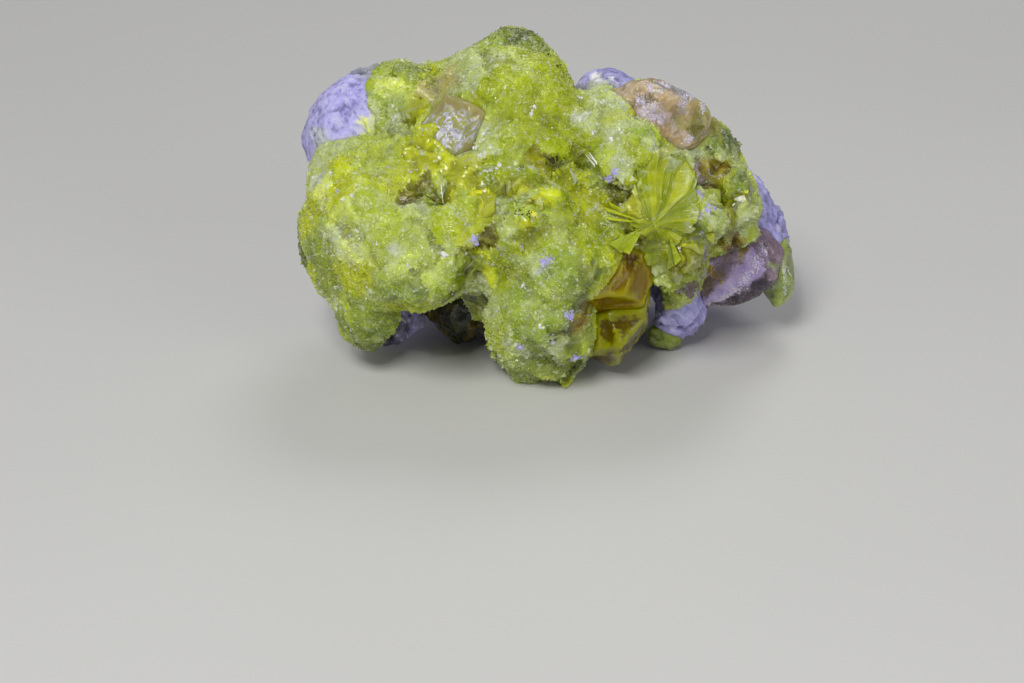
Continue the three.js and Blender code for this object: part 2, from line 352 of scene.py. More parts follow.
@dataclass
class Surface:
    """Corners and faces of a mesh, before it is an object.

    Attributes:
        points: The corners' places, in millimetres.
        faces: The corners of each face, all with the same count.
    """

    points: Array
    faces: Array

    def face_normals(self) -> Array:
        """Each face's normal, as long as the face's area."""
        corner = self.points[self.faces]
        return 0.5 * np.cross(corner[:, 2] - corner[:, 0], corner[:, -1] - corner[:, 1])

    def scatter(self, count: int, weight: Array, rng: np.random.Generator) -> tuple[Array, Array, Array]:
        """Pick places on the surface.

        Args:
            count: How many to pick.
            weight: How likely each corner is to be near a place.
            rng: Source of chance.

        Returns:
            The places, the outward directions there, and the number of a corner beside each.
        """
        normals = self.face_normals()
        area = np.linalg.norm(normals, axis=1)
        chance = area * weight[self.faces].mean(axis=1)
        chosen = rng.choice(len(self.faces), count, p=chance / chance.sum())
        corners = self.points[self.faces[chosen]]
        across, along = rng.random((2, count, 1)).astype(np.float32)
        low_side = corners[:, 0] * (1 - across) + corners[:, 1] * across
        high_side = corners[:, -1] * (1 - across) + corners[:, -2] * across
        places = low_side * (1 - along) + high_side * along
        return places, normals[chosen] / area[chosen, None], self.faces[chosen, 0]

    def piece(self, name: str, smooth: bool, marks: Mapping[str, Array]) -> bpy.types.Object:
        """Make the mesh an object in the scene.

        Args:
            name: The piece's name.
            smooth: Whether the faces shade smoothly.
            marks: Values for each corner: single numbers, or colours with four channels.

        Returns:
            The linked object.
        """
        mesh = bpy.data.meshes.new(name)
        count, sides = self.faces.shape
        mesh.vertices.add(len(self.points))
        mesh.vertices.foreach_set("co", (self.points * MM).astype(np.float32).ravel())
        mesh.loops.add(count * sides)
        mesh.loops.foreach_set("vertex_index", self.faces.astype(np.int32).ravel())
        mesh.polygons.add(count)
        mesh.polygons.foreach_set("loop_start", np.arange(0, count * sides, sides, dtype=np.int32))
        mesh.update(calc_edges=True)
        mesh.validate()
        mesh.polygons.foreach_set("use_smooth", np.full(len(mesh.polygons), smooth))
        for mark, values in marks.items():
            kind, slot = ("FLOAT_COLOR", "color") if values.ndim == 2 else ("FLOAT", "value")
            layer = mesh.attributes.new(mark, kind, "POINT")
            layer.data.foreach_set(slot, values.astype(np.float32).ravel())
        piece = bpy.data.objects.new(name, mesh)
        bpy.context.scene.collection.objects.link(piece)
        LOG.info("%s: %d triangles", name, count * (sides - 2))
        return piece


# ---- Kinds of stone -----------------------------------------------------------------------


@dataclass(frozen=True)
class Shade:
    """How one kind of stone looks.

    Attributes:
        screen: Its colour, 0 to 255 a channel, as a screen shows it.
        glassy: How clear and shiny it is, 0 to 1.
        frost: How much white sugar lies on it, 0 to 1.
    """

    screen: tuple[int, int, int]
    glassy: float
    frost: float


class Habit(Enum):
    """The kinds of stone that the specimen shows."""

    SUGAR = Shade((176, 190, 60), 0.10, 0.35)
    LEMON = Shade((184, 193, 26), 0.25, 0.10)
    LIME = Shade((164, 178, 12), 0.20, 0.12)
    LEAF = Shade((148, 168, 54), 0.15, 0.30)
    FERN = Shade((122, 140, 48), 0.20, 0.30)
    GRASS = Shade((112, 128, 8), 0.60, 0.05)
    OLIVE = Shade((112, 110, 12), 0.60, 0.05)
    HONEY = Shade((172, 172, 6), 0.50, 0.03)
    GLASS = Shade((172, 182, 44), 0.90, 0.10)
    BROWN = Shade((96, 84, 4), 0.50, 0.03)
    MOSS = Shade((84, 98, 34), 0.30, 0.15)
    FROST = Shade((184, 196, 130), 0.05, 0.80)
    ROSE = Shade((128, 110, 126), 0.10, 0.25)
    PEACH = Shade((172, 152, 116), 0.30, 0.40)
    CARAMEL = Shade((128, 112, 40), 0.60, 0.10)
    LILAC = Shade((180, 175, 232), 0.00, 0.30)
    CHALK = Shade((158, 154, 206), 0.00, 0.20)
    DUN = Shade((54, 51, 56), 0.00, 0.05)
    # White: in the glint flakes it is painted glints; in the white slivers and a chalk spot it is their own
    # colour.
    GLINT = Shade((240, 240, 250), 0.60, 0.60)
    VEIL = Shade((190, 196, 186), 0.00, 0.60)
    # Bright yellow flakes that stand for flashes of light: painted highlights.
    FLASH = Shade((240, 240, 50), 0.90, 0.00)
    PITCH = Shade((34, 42, 8), 0.60, 0.00)
    BLUSH = Shade((126, 112, 82), 0.30, 0.15)
    BLOOM = Shade((190, 172, 164), 0.05, 0.60)
    PEAR = Shade((144, 158, 10), 0.40, 0.05)
    BOTTLE = Shade((84, 100, 2), 0.80, 0.00)
    # Dark plum on the pink grain's low edge: painted shade.
    PLUM_SHADE = Shade((50, 40, 52), 0.10, 0.05)
    GOLD = Shade((192, 198, 28), 0.90, 0.08)
    CREAM = Shade((222, 232, 120), 0.05, 0.60)
    MINT = Shade((188, 202, 100), 0.10, 0.50)
    # A lighter yellow laid where the stone lies in shade: painted light.
    PAINTED_LIGHT_YELLOW = Shade((200, 208, 22), 0.35, 0.05)
    WHEAT = Shade((176, 166, 104), 0.40, 0.30)
    RUST = Shade((134, 110, 6), 0.60, 0.00)
    UMBER = Shade((96, 80, 70), 0.20, 0.10)
    REED = Shade((158, 154, 84), 0.50, 0.25)
    SAGE = Shade((138, 150, 94), 0.25, 0.35)
    MAUVE = Shade((160, 144, 188), 0.05, 0.50)
    RIME = Shade((212, 204, 220), 0.20, 0.60)
    ASH = Shade((148, 150, 152), 0.10, 0.30)

    def row(self, sink: float = 0.0) -> Array:
        """Its red, green, blue, glassiness, frost and depth in one row."""
        shade = self.value
        return np.array([*linear(*shade.screen)[:3], shade.glassy, shade.frost, sink], np.float32)


@dataclass(frozen=True)
class Spot:
    """A place where one kind of stone shows.

    Attributes:
        habit: The kind of stone.
        place: Its middle, in millimetres.
        reach: How far it goes, in millimetres.
        sink: How deep it lies in the stone around it, in millimetres.
    """

    habit: Habit
    place: Triple
    reach: float
    sink: float = 0.0


@dataclass
class Look:
    """What a mesh's corners look like.

    Attributes:
        tint: Linear colours with four channels.
        glassy: How clear and shiny each corner is.
        frost: How much white sugar each corner has.
        sink: How deep each corner's kind of stone lies, in millimetres.
    """

    tint: Array
    glassy: Array
    frost: Array
    sink: Array

    def marks(self) -> dict[str, Array]:
        """The values that a mesh carries for its material."""
        return {"tint": self.tint, "glassy": self.glassy, "frost": self.frost}

    def at(self, corners: Array) -> "Look":
        """The look of some of the corners, in a given order."""
        return Look(self.tint[corners], self.glassy[corners], self.frost[corners], self.sink[corners])


@dataclass(frozen=True)
class Pattern:
    """How kinds of stone share a surface: a ground, and spots that lie on it.

    Attributes:
        ground: Kinds of stone that take turns where there are no spots.
        spots: The spots.
        patch: Size of the ground's patches, in millimetres.
        seed: Seed of the wandering borders.
        flake: Size of the straight-edged flakes that each have one colour, in millimetres.
    """

    ground: tuple[Habit, ...]
    spots: tuple[Spot, ...] = ()
    patch: float = 5.0
    seed: int = 11
    flake: float = 0.9

    def look(self, points: Array) -> Look:
        """Work out the look of some places.

        Args:
            points: Places, in millimetres.

        Returns:
            Their look.
        """
        contrast, farthest = 2.4, 2.2
        rough = warped(warped(points, 3.2, 0.4, self.seed), 0.9, 0.12, self.seed + 5)
        _, offset, chance = Grains(self.flake, self.seed + 7).nearest(rough)
        rough = rough - 0.7 * self.flake * offset
        total = np.zeros(len(points), np.float32)
        mixed = np.zeros((len(points), 6), np.float32)
        for k, habit in enumerate(self.ground):
            weight = (0.03 * np.exp(2.2 * waves(rough, self.patch, self.seed + 20 + k))) ** contrast
            total += weight
            mixed += weight[:, None] * habit.row()
        for spot in self.spots:
            far = np.linalg.norm(rough - np.array(spot.place, np.float32), axis=1) / spot.reach
            near = np.flatnonzero(far < farthest)
            weight = (3.0 / spot.reach * np.exp(-2.4 * far[near] ** 2)) ** contrast
            total[near] += weight
            mixed[near] += weight[:, None] * spot.habit.row(spot.sink)
        mixed /= total[:, None]
        light = BRIGHTER * (0.92 + 0.16 * chance[:, :1])
        opaque = np.ones((len(points), 1), np.float32)
        tint = np.concatenate([np.clip(light * mixed[:, :3], 0, LIGHTEST), opaque], axis=1)
        return Look(tint, mixed[:, 3], mixed[:, 4], mixed[:, 5])


# ---- Material recipes ---------------------------------------------------------------------


class Signal:
    """A node's output. Used in an expression, it adds the Math nodes that work it out."""

    def __init__(self, recipe: "Recipe", socket: bpy.types.NodeSocket) -> None:
        """Wrap a socket of a recipe's node."""
        self.recipe = recipe
        self.socket = socket

    def math(self, operation: str, first: "Feed", second: "Feed") -> "Signal":
        """Add one Math node."""
        return self.recipe.node("ShaderNodeMath", {"operation": operation}, {0: first, 1: second})

    def __add__(self, other: "Feed") -> "Signal":
        """This plus other."""
        return self.math("ADD", self, other)

    def __sub__(self, other: "Feed") -> "Signal":
        """This minus other."""
        return self.math("SUBTRACT", self, other)

    def __rsub__(self, other: "Feed") -> "Signal":
        """Other minus this."""
        return self.math("SUBTRACT", other, self)

    def __mul__(self, other: "Feed") -> "Signal":
        """This times other."""
        return self.math("MULTIPLY", self, other)

    __radd__ = __add__
    __rmul__ = __mul__

    def rising(self, low: float, high: float) -> "Signal":
        """0 below low, 1 above high and smooth between them; low may be the larger one."""
        inputs = {"Value": self, "From Min": low, "From Max": high}
        return self.recipe.node("ShaderNodeMapRange", {"interpolation_type": "SMOOTHSTEP"}, inputs)


Feed = Signal | float | Triple | Colour


class Recipe:
    """The nodes of one material."""

    def __init__(self, name: str) -> None:
        """Start an empty material.

        Args:
            name: The material's name.
        """
        self.material = bpy.data.materials.new(name)
        self.material.use_nodes = True
        self.tree = self.material.node_tree
        self.tree.nodes.clear()
        self.place = self.node("ShaderNodeTexCoord", {}, {}, "Object")

    def node(
        self,
        kind: str,
        settings: Mapping[str, object],
        inputs: Mapping[int | str, Feed],
        output: int | str = 0,
    ) -> Signal:
        """Add a node.

        Args:
            kind: The node's type.
            settings: Its own settings, which are set first.
            inputs: A value or a link for each socket named.
            output: Which output to give back.

        Returns:
            The chosen output, or the first input of a node that has no outputs.
        """
        node = self.tree.nodes.new(kind)
        for name, value in settings.items():
            setattr(node, name, value)
        for key, value in inputs.items():
            if isinstance(value, Signal):
                self.tree.links.new(value.socket, node.inputs[key])
            else:
                node.inputs[key].default_value = value
        return Signal(self, node.outputs[output] if node.outputs else node.inputs[0])

    def mark(self, name: str, output: str = "Fac") -> Signal:
        """Read a value, or with output "Color" a colour, that the mesh carries."""
        return self.node("ShaderNodeAttribute", {"attribute_name": name}, {}, output)

    def mix(self, share: Feed, first: Feed, second: Feed, blend: str = "MIX") -> Signal:
        """Mix two colours: share 0 gives the first one."""
        return self.node(
            "ShaderNodeMix", {"data_type": "RGBA", "blend_type": blend}, {0: share, 6: first, 7: second}, 2
        )

    def vector(self, operation: str, first: Feed, second: Feed) -> Signal:
        """Add one Vector Math node."""
        return self.node("ShaderNodeVectorMath", {"operation": operation}, {0: first, 1: second})

    def turned(self, angle: float) -> Signal:
        """The place, turned round the Y axis by an angle in radians."""
        inputs = {"Vector": self.place, "Angle": angle}
        return self.node("ShaderNodeVectorRotate", {"rotation_type": "Y_AXIS"}, inputs)

    def noise(self, size: float, detail: float = 3.0, place: Signal | None = None) -> Signal:
        """Cloudy noise from 0 to 1 whose lumps have a size in millimetres."""
        inputs = {"Vector": place or self.place, "Scale": 1 / (size * MM), "Detail": detail}
        return self.node("ShaderNodeTexNoise", {}, inputs)

    def cells(self, size: float, output: str = "Distance", place: Signal | None = None) -> Signal:
        """Cells of a size in millimetres: the distance to their middles, or a colour each."""
        inputs = {"Vector": place or self.place, "Scale": 1 / (size * MM)}
        return self.node("ShaderNodeTexVoronoi", {}, inputs, output)

    def borders(self, size: float, place: Signal | None = None) -> Signal:
        """Distance to the straight borders of cells of a size in millimetres, as a share of the size."""
        inputs = {"Vector": place or self.place, "Scale": 1 / (size * MM)}
        return self.node("ShaderNodeTexVoronoi", {"feature": "DISTANCE_TO_EDGE"}, inputs)

    def tilted(self, colour: Signal, tilt: float, like_host: float = 0.0, kind: str = "Normal") -> Signal:
        """Make a normal that leans by a colour, so that each cell of the colour is a small facet.

        Args:
            colour: The colour.
            tilt: How far it leans.
            like_host: Share of the direction that comes from the stone underneath.
            kind: "Normal" for the smooth surface, "True Normal" for its flat faces.

        Returns:
            The normal.
        """
        lean = self.vector("MULTIPLY", self.vector("SUBTRACT", colour, (0.5, 0.5, 0.5)), (tilt, tilt, tilt))
        normal = self.node("ShaderNodeNewGeometry", {}, {}, kind)
        if like_host:
            own = 1 - like_host
            normal = self.vector("MULTIPLY", normal, (own, own, own))
            host = self.vector("MULTIPLY", self.mark("host", "Vector"), (like_host, like_host, like_host))
            normal = self.vector("ADD", normal, host)
        return self.vector("NORMALIZE", self.vector("ADD", normal, lean), (0.0, 0.0, 0.0))

    def bump(self, height: Signal, depth: float, normal: Signal | None = None) -> Signal:
        """A normal from a height of 0 to 1 that stands for a depth in millimetres."""
        inputs = {"Height": height, "Distance": depth * MM, "Strength": 1.0}
        return self.node("ShaderNodeBump", {}, inputs | ({"Normal": normal} if normal else {}))

    def shader(self, inputs: Mapping[str, Feed]) -> Signal:
        """Add one Principled shader."""
        return self.node("ShaderNodeBsdfPrincipled", {}, inputs)

    def either(self, share: Signal, first: Mapping[str, Feed], second: Mapping[str, Feed]) -> Signal:
        """Mix two Principled shaders, given by their inputs: share 0 shows the first one."""
        return self.node("ShaderNodeMixShader", {}, {0: share, 1: self.shader(first), 2: self.shader(second)})

    def finish(self, surface: Signal, volume: Signal | None = None) -> bpy.types.Material:
        """Close the recipe.

        Args:
            surface: The surface's shader.
            volume: What fills the inside.

        Returns:
            The material.
        """
        inputs = {"Surface": surface} | ({"Volume": volume} if volume else {})
        self.node("ShaderNodeOutputMaterial", {}, inputs)
        return self.material


@dataclass(frozen=True)
class SugarFinish:
    """Half see-through stone under fine sugar, with the tints that its mesh carries.

    Attributes:
        name: The material's name.
        glow: How much light goes into the stone.
        depth: How far red, green and blue light go, in millimetres.
        grain: Size of the sugar's grains, in millimetres.
        tilt: How far the grains lean.
        clear: Share of the light that passes straight through its glassy parts.
        lit: The colour of its brightest flakes, and of the painted lit facets in its glassy parts, 0 to 255 a
            channel.
        sugar: The colour of its sugar.
        dim: What its dull flakes, and the painted shaded facets in its glassy parts, keep of red, green and
            blue.
        like_host: Share of its facets' directions that comes from the stone underneath.
    """

    name: str
    glow: float = 0.9
    depth: Triple = (1.6, 1.6, 0.3)
    grain: float = 0.17
    tilt: float = 0.3
    clear: float = 0.2
    lit: tuple[int, int, int] = (220, 224, 90)
    sugar: tuple[int, int, int] = (212, 217, 190)
    dim: Triple = (0.66, 0.70, 0.45)
    like_host: float = 0.0

    def material(self) -> bpy.types.Material:
        """Build the material."""
        r = Recipe(self.name)
        tint, glassy, frost = r.mark("tint", "Color"), r.mark("glassy"), r.mark("frost")
        tall = r.vector("MULTIPLY", r.place, (1.0, 1.0, 0.5))
        slant = r.vector("MULTIPLY", r.turned(0.7), (0.45, 1.0, 1.0))
        bright = r.mix(0.55, tint, linear(*self.lit))
        dull = r.mix(1.0, tint, (*self.dim, 1), "MULTIPLY")
        sugar = linear(*self.sugar)
        flake = r.cells(0.55, "Color", tall)
        base = r.mix(flake.rising(0.52, 0.56) * (1 - frost) * 0.3, tint, bright)
        fire = r.cells(0.8, "Color", slant)
        # In glassy parts some cells are painted lighter and some darker: painted lit and shaded facets.
        base = r.mix(fire.rising(0.60, 0.62) * glassy * 0.75, base, bright)
        base = r.mix(fire.rising(0.40, 0.38) * glassy * 0.8, base, dull)
        film = r.noise(1.0, 8.0).rising(0.46, 0.62)
        base = r.mix(film * frost * 0.6, base, sugar)
        base = r.mix(r.noise(0.5, 6.0, tall).rising(0.5, 0.8) * 0.4, base, dull)
        base = r.mix(r.noise(0.14, 2.0, slant).rising(0.5, 0.8) * frost * 0.5, base, sugar)
        chance = r.cells(self.grain, "Color")
        base = r.mix(chance.rising(0.7, 0.2) * (0.3 - 0.2 * glassy), base, dull)
        # Scattered dots painted near-white: white specks, and painted glints.
        dot = r.cells(self.grain).rising(0.36, 0.22) * chance.rising(0.74, 0.78) * (0.35 + 0.65 * frost)
        base = r.mix(dot * 0.6, base, linear(232, 232, 242))
        crack = r.borders(2.4, slant).rising(0.03, 0.008) * r.noise(1.6, 3.0).rising(0.46, 0.56)
        base = r.mix(crack * (0.05 + 0.6 * glassy), base, sugar)
        height = r.noise(0.45, 5.0) + r.cells(0.42) * (0.6 - 0.55 * glassy) - crack * 0.5
        stone = {
            "Base Color": base,
            "IOR": 1.5,
            "Specular IOR Level": 0.4,
            "Subsurface Weight": self.glow,
            "Subsurface Radius": self.depth,
            "Subsurface Scale": MM,
        }
        sugary = stone | {
            "Roughness": 0.34 - 0.24 * glassy - chance * 0.1,
            "Coat Weight": glassy * 0.5,
            "Coat Roughness": 0.06,
            "Normal": r.bump(
                height, 0.09, r.tilted(r.cells(self.grain * 0.9, "Color"), self.tilt, self.like_host)
            ),
        }
        glass = stone | {
            "Roughness": 0.08 + r.noise(0.7, 2.0).rising(0.5, 0.7) * 0.2,
            "Transmission Weight": self.clear,
            "Coat Weight": 0.5,
            "Coat Roughness": 0.04,
            "Normal": r.bump(r.noise(0.5, 4.0), 0.05, r.tilted(fire, 0.4, self.like_host, "True Normal")),
        }
        return r.finish(r.either(glassy.rising(0.35, 0.7), sugary, glass))


@dataclass(frozen=True)
class ChalkFinish:
    """Dry, wrinkled chalk with the tints that its mesh carries.

    Attributes:
        name: The material's name.
    """

    name: str

    def material(self) -> bpy.types.Material:
        """Build the material."""
        r = Recipe(self.name)
        tint, frost = r.mark("tint", "Color"), r.mark("frost")
        cloud = r.noise(1.2, 6.0)
        base = r.mix(cloud.rising(0.4, 0.75) * 0.4, tint, linear(196, 192, 232))
        base = r.mix(r.noise(0.5, 5.0).rising(0.6, 0.76) * 0.3, base, linear(110, 106, 150))
        base = r.mix(r.cells(0.3).rising(0.3, 0.15) * frost, base, linear(228, 226, 244))
        fold = r.noise(0.45, 6.0, r.vector("MULTIPLY", r.turned(0.6), (1.0, 1.0, 0.35)))
        # Fold valleys are painted darker and fold crests lighter: painted shade and painted highlight in the
        # wrinkles.
        base = r.mix(fold.rising(0.48, 0.34) * 0.45, base, linear(100, 96, 140))
        base = r.mix(fold.rising(0.54, 0.66) * 0.6, base, linear(222, 218, 250))
        height = fold * 0.7 + r.noise(0.22, 3.0) * 0.3
        inputs = {
            "Base Color": base,
            "Roughness": 0.8 - frost * 0.2,
            "Specular IOR Level": 0.2,
            "Subsurface Weight": 0.25,
            "Subsurface Radius": (0.5, 0.4, 0.6),
            "Subsurface Scale": MM,
            "Normal": r.bump(height, 0.3),
        }
        return r.finish(r.shader(inputs))


@dataclass(frozen=True)
class ClearFinish:
    """Half-clear crystal, whose colour deepens with its thickness.

    Attributes:
        name: The material's name.
        colour: What passes through, 0 to 255 a channel.
        density: How fast the rest is lost, per millimetre.
        body: The colour of its clouded part, 0 to 255 a channel.
        deep: The colour of that part's darker clouds.
        rim: The colour of its thin edges and crests, painted on as a glow, and of its cracks.
        clear: Share of the light that passes; the rest glows inside.
        veil: Share of the faces under a pale veil: lilac powder on the amber crystals, painted sheen on the
            window crystal.
        glow_depth: How far light goes into the clouded part, in millimetres.
        veil_colour: The veil's colour, 0 to 255 a channel.
        streak: How much longer the veil's flecks are along the crystal than across.
        roughness: How much the faces blur what is behind them.
    """

    name: str
    colour: tuple[int, int, int]
    density: float
    body: tuple[int, int, int]
    deep: tuple[int, int, int]
    rim: tuple[int, int, int]
    clear: float = 0.7
    veil: float = 0.15
    glow_depth: float = 0.5
    veil_colour: tuple[int, int, int] = (206, 202, 232)
    streak: float = 1.0
    roughness: float = 0.08

    def material(self) -> bpy.types.Material:
        """Build the material."""
        r = Recipe(self.name)
        along = r.vector("MULTIPLY", r.turned(0.8), (1.0 / self.streak, 1.0, 1.0))
        inner = r.cells(1.7, "Color", along)
        body = r.mix(inner.rising(0.2, 0.8) * 0.6, linear(*self.body), linear(*self.deep))
        body = r.mix(r.noise(1.6, 4.0).rising(0.45, 0.65) * 0.5, body, linear(*self.deep))
        crack = r.borders(2.3, along).rising(0.02, 0.005) * r.noise(1.2, 3.0).rising(0.5, 0.6)
        body = r.mix(crack * 0.25, body, linear(*self.rim))
        clear = {
            # The frost mark paints the faces in the rim colour: a painted glow on crests and rims, and part
            # of the window crystal's painted sheen.
            "Base Color": r.mix(r.mark("frost") * 0.9, body, linear(*self.rim)),
            "Roughness": self.roughness + r.noise(0.6, 2.0, along).rising(0.5, 0.8) * 0.15,
            "IOR": 1.5,
            "Specular IOR Level": 0.2,
            "Transmission Weight": self.clear,
            "Subsurface Weight": 1.0,
            "Subsurface Radius": (1.0, 1.0, 0.25),
            "Subsurface Scale": self.glow_depth * MM,
            "Coat Weight": 0.15,
            "Coat Roughness": 0.03,
            "Normal": r.bump(r.noise(0.5, 3.0, along), 0.02, r.tilted(inner, 0.14)),
        }
        # Pale flecks: lilac powder on the amber crystals, painted sheen on the window crystal.
        dust_and_sheen = {
            "Base Color": r.mix(r.noise(0.3, 3.0), linear(*self.veil_colour), linear(150, 146, 190)),
            "Roughness": 0.25,
            "Normal": r.tilted(r.cells(0.2, "Color"), 0.8),
        }
        edge = 0.86 - 0.5 * self.veil
        dust_and_sheen_share = r.mark("glassy").rising(0.9, 0.1) * r.noise(1.5, 2.0).rising(0.36, 0.5)
        flecks = r.noise(0.2, 6.0, along).rising(edge - 0.1, edge) * dust_and_sheen_share
        inside = {"Color": linear(*self.colour), "Density": self.density / MM}
        return r.finish(r.either(flecks, clear, dust_and_sheen), r.node("ShaderNodeVolumeAbsorption", {}, inside))


# ---- Pieces grown from the frame's solids --------------------------------------------------


@dataclass
class Site:
    """Where everything grows: the frame's solids, measured coarsely, and the box round them.

    Attributes:
        step: Distance between samples, in millimetres.
        stones: The solids, by their nodes' names.
        low: The box's lowest corner, in millimetres.
        high: Its highest corner, in millimetres.
    """

    step: float = 0.3
    stones: dict[str, Stone] = field(init=False)
    low: Array = field(init=False)
    high: Array = field(init=False)

    def __post_init__(self) -> None:
        """Measure every node."""
        boxes = [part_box(name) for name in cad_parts]
        self.low = np.min([np.array(low) for low, _ in boxes], axis=0) / MM
        self.high = np.max([np.array(high) for _, high in boxes], axis=0) / MM
        self.stones = {name: Stone.of_node(name, self.step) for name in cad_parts}

    def gap(self, name: str, points: Array) -> Array:
        """Distance from places to the nearest solid other than the one named."""
        return np.min([stone.at(points) for other, stone in self.stones.items() if other != name], axis=0)

    def open_air(self, name: str, points: Array) -> Array:
        """How open places on a node are: 0 beside another solid, 1 well away from all."""
        return smooth_step(0.35, 0.6, self.gap(name, points))

    def holds(self, middles: Array, sizes: Array) -> Array:
        """Tell which crystals lie inside the box, from their middles and half sizes."""
        reach = np.linalg.norm(sizes, axis=1, keepdims=True)
        return np.all((middles - reach > self.low) & (middles + reach < self.high), axis=1)


@dataclass
class GrownPiece:
    """A stone piece that stands for one node of the frame.

    Attributes:
        node: The node's name, and the piece's.
        slot: The record's material slot; not used.
        pattern: Which kinds of stone show where.
        finish: What makes its material.
        step: Distance between samples, in millimetres.
        softness: How far edges are rounded, in millimetres.
        seam: How far it swells to meet its neighbours, in millimetres.
        crease_shade: Share of red, green and blue that is left in creases, which are painted darker as shade.
        crest_highlight: How much lighter crests are painted, as a painted highlight.
        rim_glow: How much frost crests get; on clear crystals this paints a glow on their rims.
    """

    node: str
    slot: str
    pattern: Pattern
    finish: SugarFinish | ChalkFinish | ClearFinish
    step: float = 0.14
    softness: float = 0.14
    seam: float = 0.2
    crease_shade: Triple = (0.72, 0.70, 0.45)
    crest_highlight: float = 0.12
    rim_glow: float = 0.0

    def relief(self, points: Array, look: Look) -> Array:
        """How far the surface stands out at some places.

        Args:
            points: Places near the surface, in millimetres.
            look: Their look.

        Returns:
            Heights in millimetres.
        """
        raise NotImplementedError

    def firmness(self, look: Look) -> Array:
        """How much of the solid's sharp edges stays, from 0 to 1."""
        return np.zeros(len(look.glassy), np.float32)

    def grow(self, site: Site) -> Stone:
        """Make the piece's shape.

        Args:
            site: What it grows among.

        Returns:
            The shape, as distances.
        """
        sharp = Stone.of_node(self.node, self.step)
        soft = sharp.softened(self.softness)
        skin = sharp.skin()
        points = sharp.lattice.places(skin)
        look = self.pattern.look(points)
        near = smooth_step(1.0, 0.35, site.gap(self.node, points))
        height = self.relief(points, look) * (1 - near) + self.seam * near
        height += (soft.depth[skin] - sharp.depth[skin]) * np.maximum(self.firmness(look), near)
        return soft.raised(skin, np.clip(height, -0.9, 0.9)).kept_inside(site.low + 0.03, site.high - 0.03)

    def build(self, site: Site) -> tuple[Surface, Look]:
        """Grow the piece, dress it and put it in the scene.

        Args:
            site: What it grows among.

        Returns:
            The shape and its look.
        """
        grown = self.grow(site)
        surface = grown.surface()
        surface.points = np.clip(surface.points, site.low, site.high)
        look = self.pattern.look(surface.points)
        swell = grown.softened(0.45).at(surface.points) - grown.at(surface.points)
        # Painted shade darkens creases and a painted highlight lightens crests, glassy crests most.
        crease_shade = smooth_step(0.0, -0.16, swell)[:, None]
        crest_highlight = smooth_step(0.02, 0.14, swell)[:, None]
        lighter = (self.crest_highlight + 0.3 * look.glassy[:, None]) * crest_highlight
        look.tint[:, :3] *= (1 - crease_shade * (1 - np.array(self.crease_shade))) * (1 + lighter)
        # On clear crystals the frost that crests get is painted as a glow on their rims.
        look.frost = np.maximum(look.frost, self.rim_glow * crest_highlight[:, 0])
        piece = surface.piece(self.node, True, look.marks())
        piece.data.materials.append(self.finish.material())
        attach(piece, BODY)
        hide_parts(self.node)
        return surface, look


@dataclass
class JouravskiteMass(GrownPiece):
    """The yellow-green mass: sugary lobes and glassy hollows."""

    def firmness(self, look: Look) -> Array:
        """Sugar rounds the edges, glass keeps them."""
        return np.clip(1.2 * look.glassy, 0, 1)

    def relief(self, points: Array, look: Look) -> Array:
        """Sugar lumps, glassy facets and hollows."""
        bent = warped(points, 1.6, 0.15, 31)
        sugar = 0.09 * Grains(1.5, 5).facets(bent) + 0.06 * Grains(0.75, 6).domes(points)
        glass = 0.24 * Grains(1.9, 7).facets(points) + 0.12 * Grains(0.95, 8).facets(points)
        lumps = 0.22 * Grains(4.2, 4).facets(warped(points, 5.0, 0.5, 29))
        lumps += 0.14 * waves(points, 3.4, 9)
        share = smooth_step(0.25, 0.6, look.glassy)
        return lumps + sugar * (1 - share) + glass * share - look.sink + 0.06


@dataclass
class ChalkyMatrix(GrownPiece):
    """The lilac chalk that the crystals grew on, torn and wrinkled."""

    # Its creases are painted darker and its crests lighter: painted shade and painted highlight.
    crease_shade: Triple = (0.55, 0.52, 0.62)
    crest_highlight: float = 0.15

    def relief(self, points: Array, look: Look) -> Array:
        """Broken lumps and folded wrinkles."""
        along = (points[:, :1] * 0.5 + points[:, 2:] * 0.85) * np.array([[0.5, 0.0, 0.85]], np.float32)
        bent = warped(points - 0.6 * along, 2.4, 0.4, 41)
        folds = 1 - np.abs(waves(bent, 1.3, 42)) * 1.6
        crags = 0.18 * Grains(2.6, 43).facets(bent) + 0.08 * Grains(1.0, 44).facets(points)
        rough = smooth_step(14.0, 8.0, points[:, 2])
        return crags + (0.13 + 0.14 * rough) * folds + (0.05 + 0.06 * rough) * waves(bent, 0.7, 45) - 0.08


@dataclass
class ClearCrystal(GrownPiece):
    """A clear, flat-faced crystal."""

    # Frost on its crests turns them to its rim colour: a painted glow on its rims.
    rim_glow: float = 0.7

    def firmness(self, look: Look) -> Array:
        """Its edges stay crisp."""
        return np.full(len(look.glassy), 0.9, np.float32)

    def relief(self, points: Array, look: Look) -> Array:
        """Shallow steps and shell-like breaks."""
        return 0.08 * Grains(2.6, 51).facets(points) + 0.03 * Grains(1.1, 52).facets(points)


@dataclass
class SugaryGrain(GrownPiece):
    """A small lump of another mineral under a skin of sugar."""

    def relief(self, points: Array, look: Look) -> Array:
        """Sugar lumps."""
        sugar = 0.12 * Grains(1.6, 61).facets(points) + 0.05 * Grains(0.5, 62).domes(points)
        return sugar + 0.12 * waves(points, 2.6, 63) - look.sink - 0.02


# ---- Small crystals ------------------------------------------------------------------------


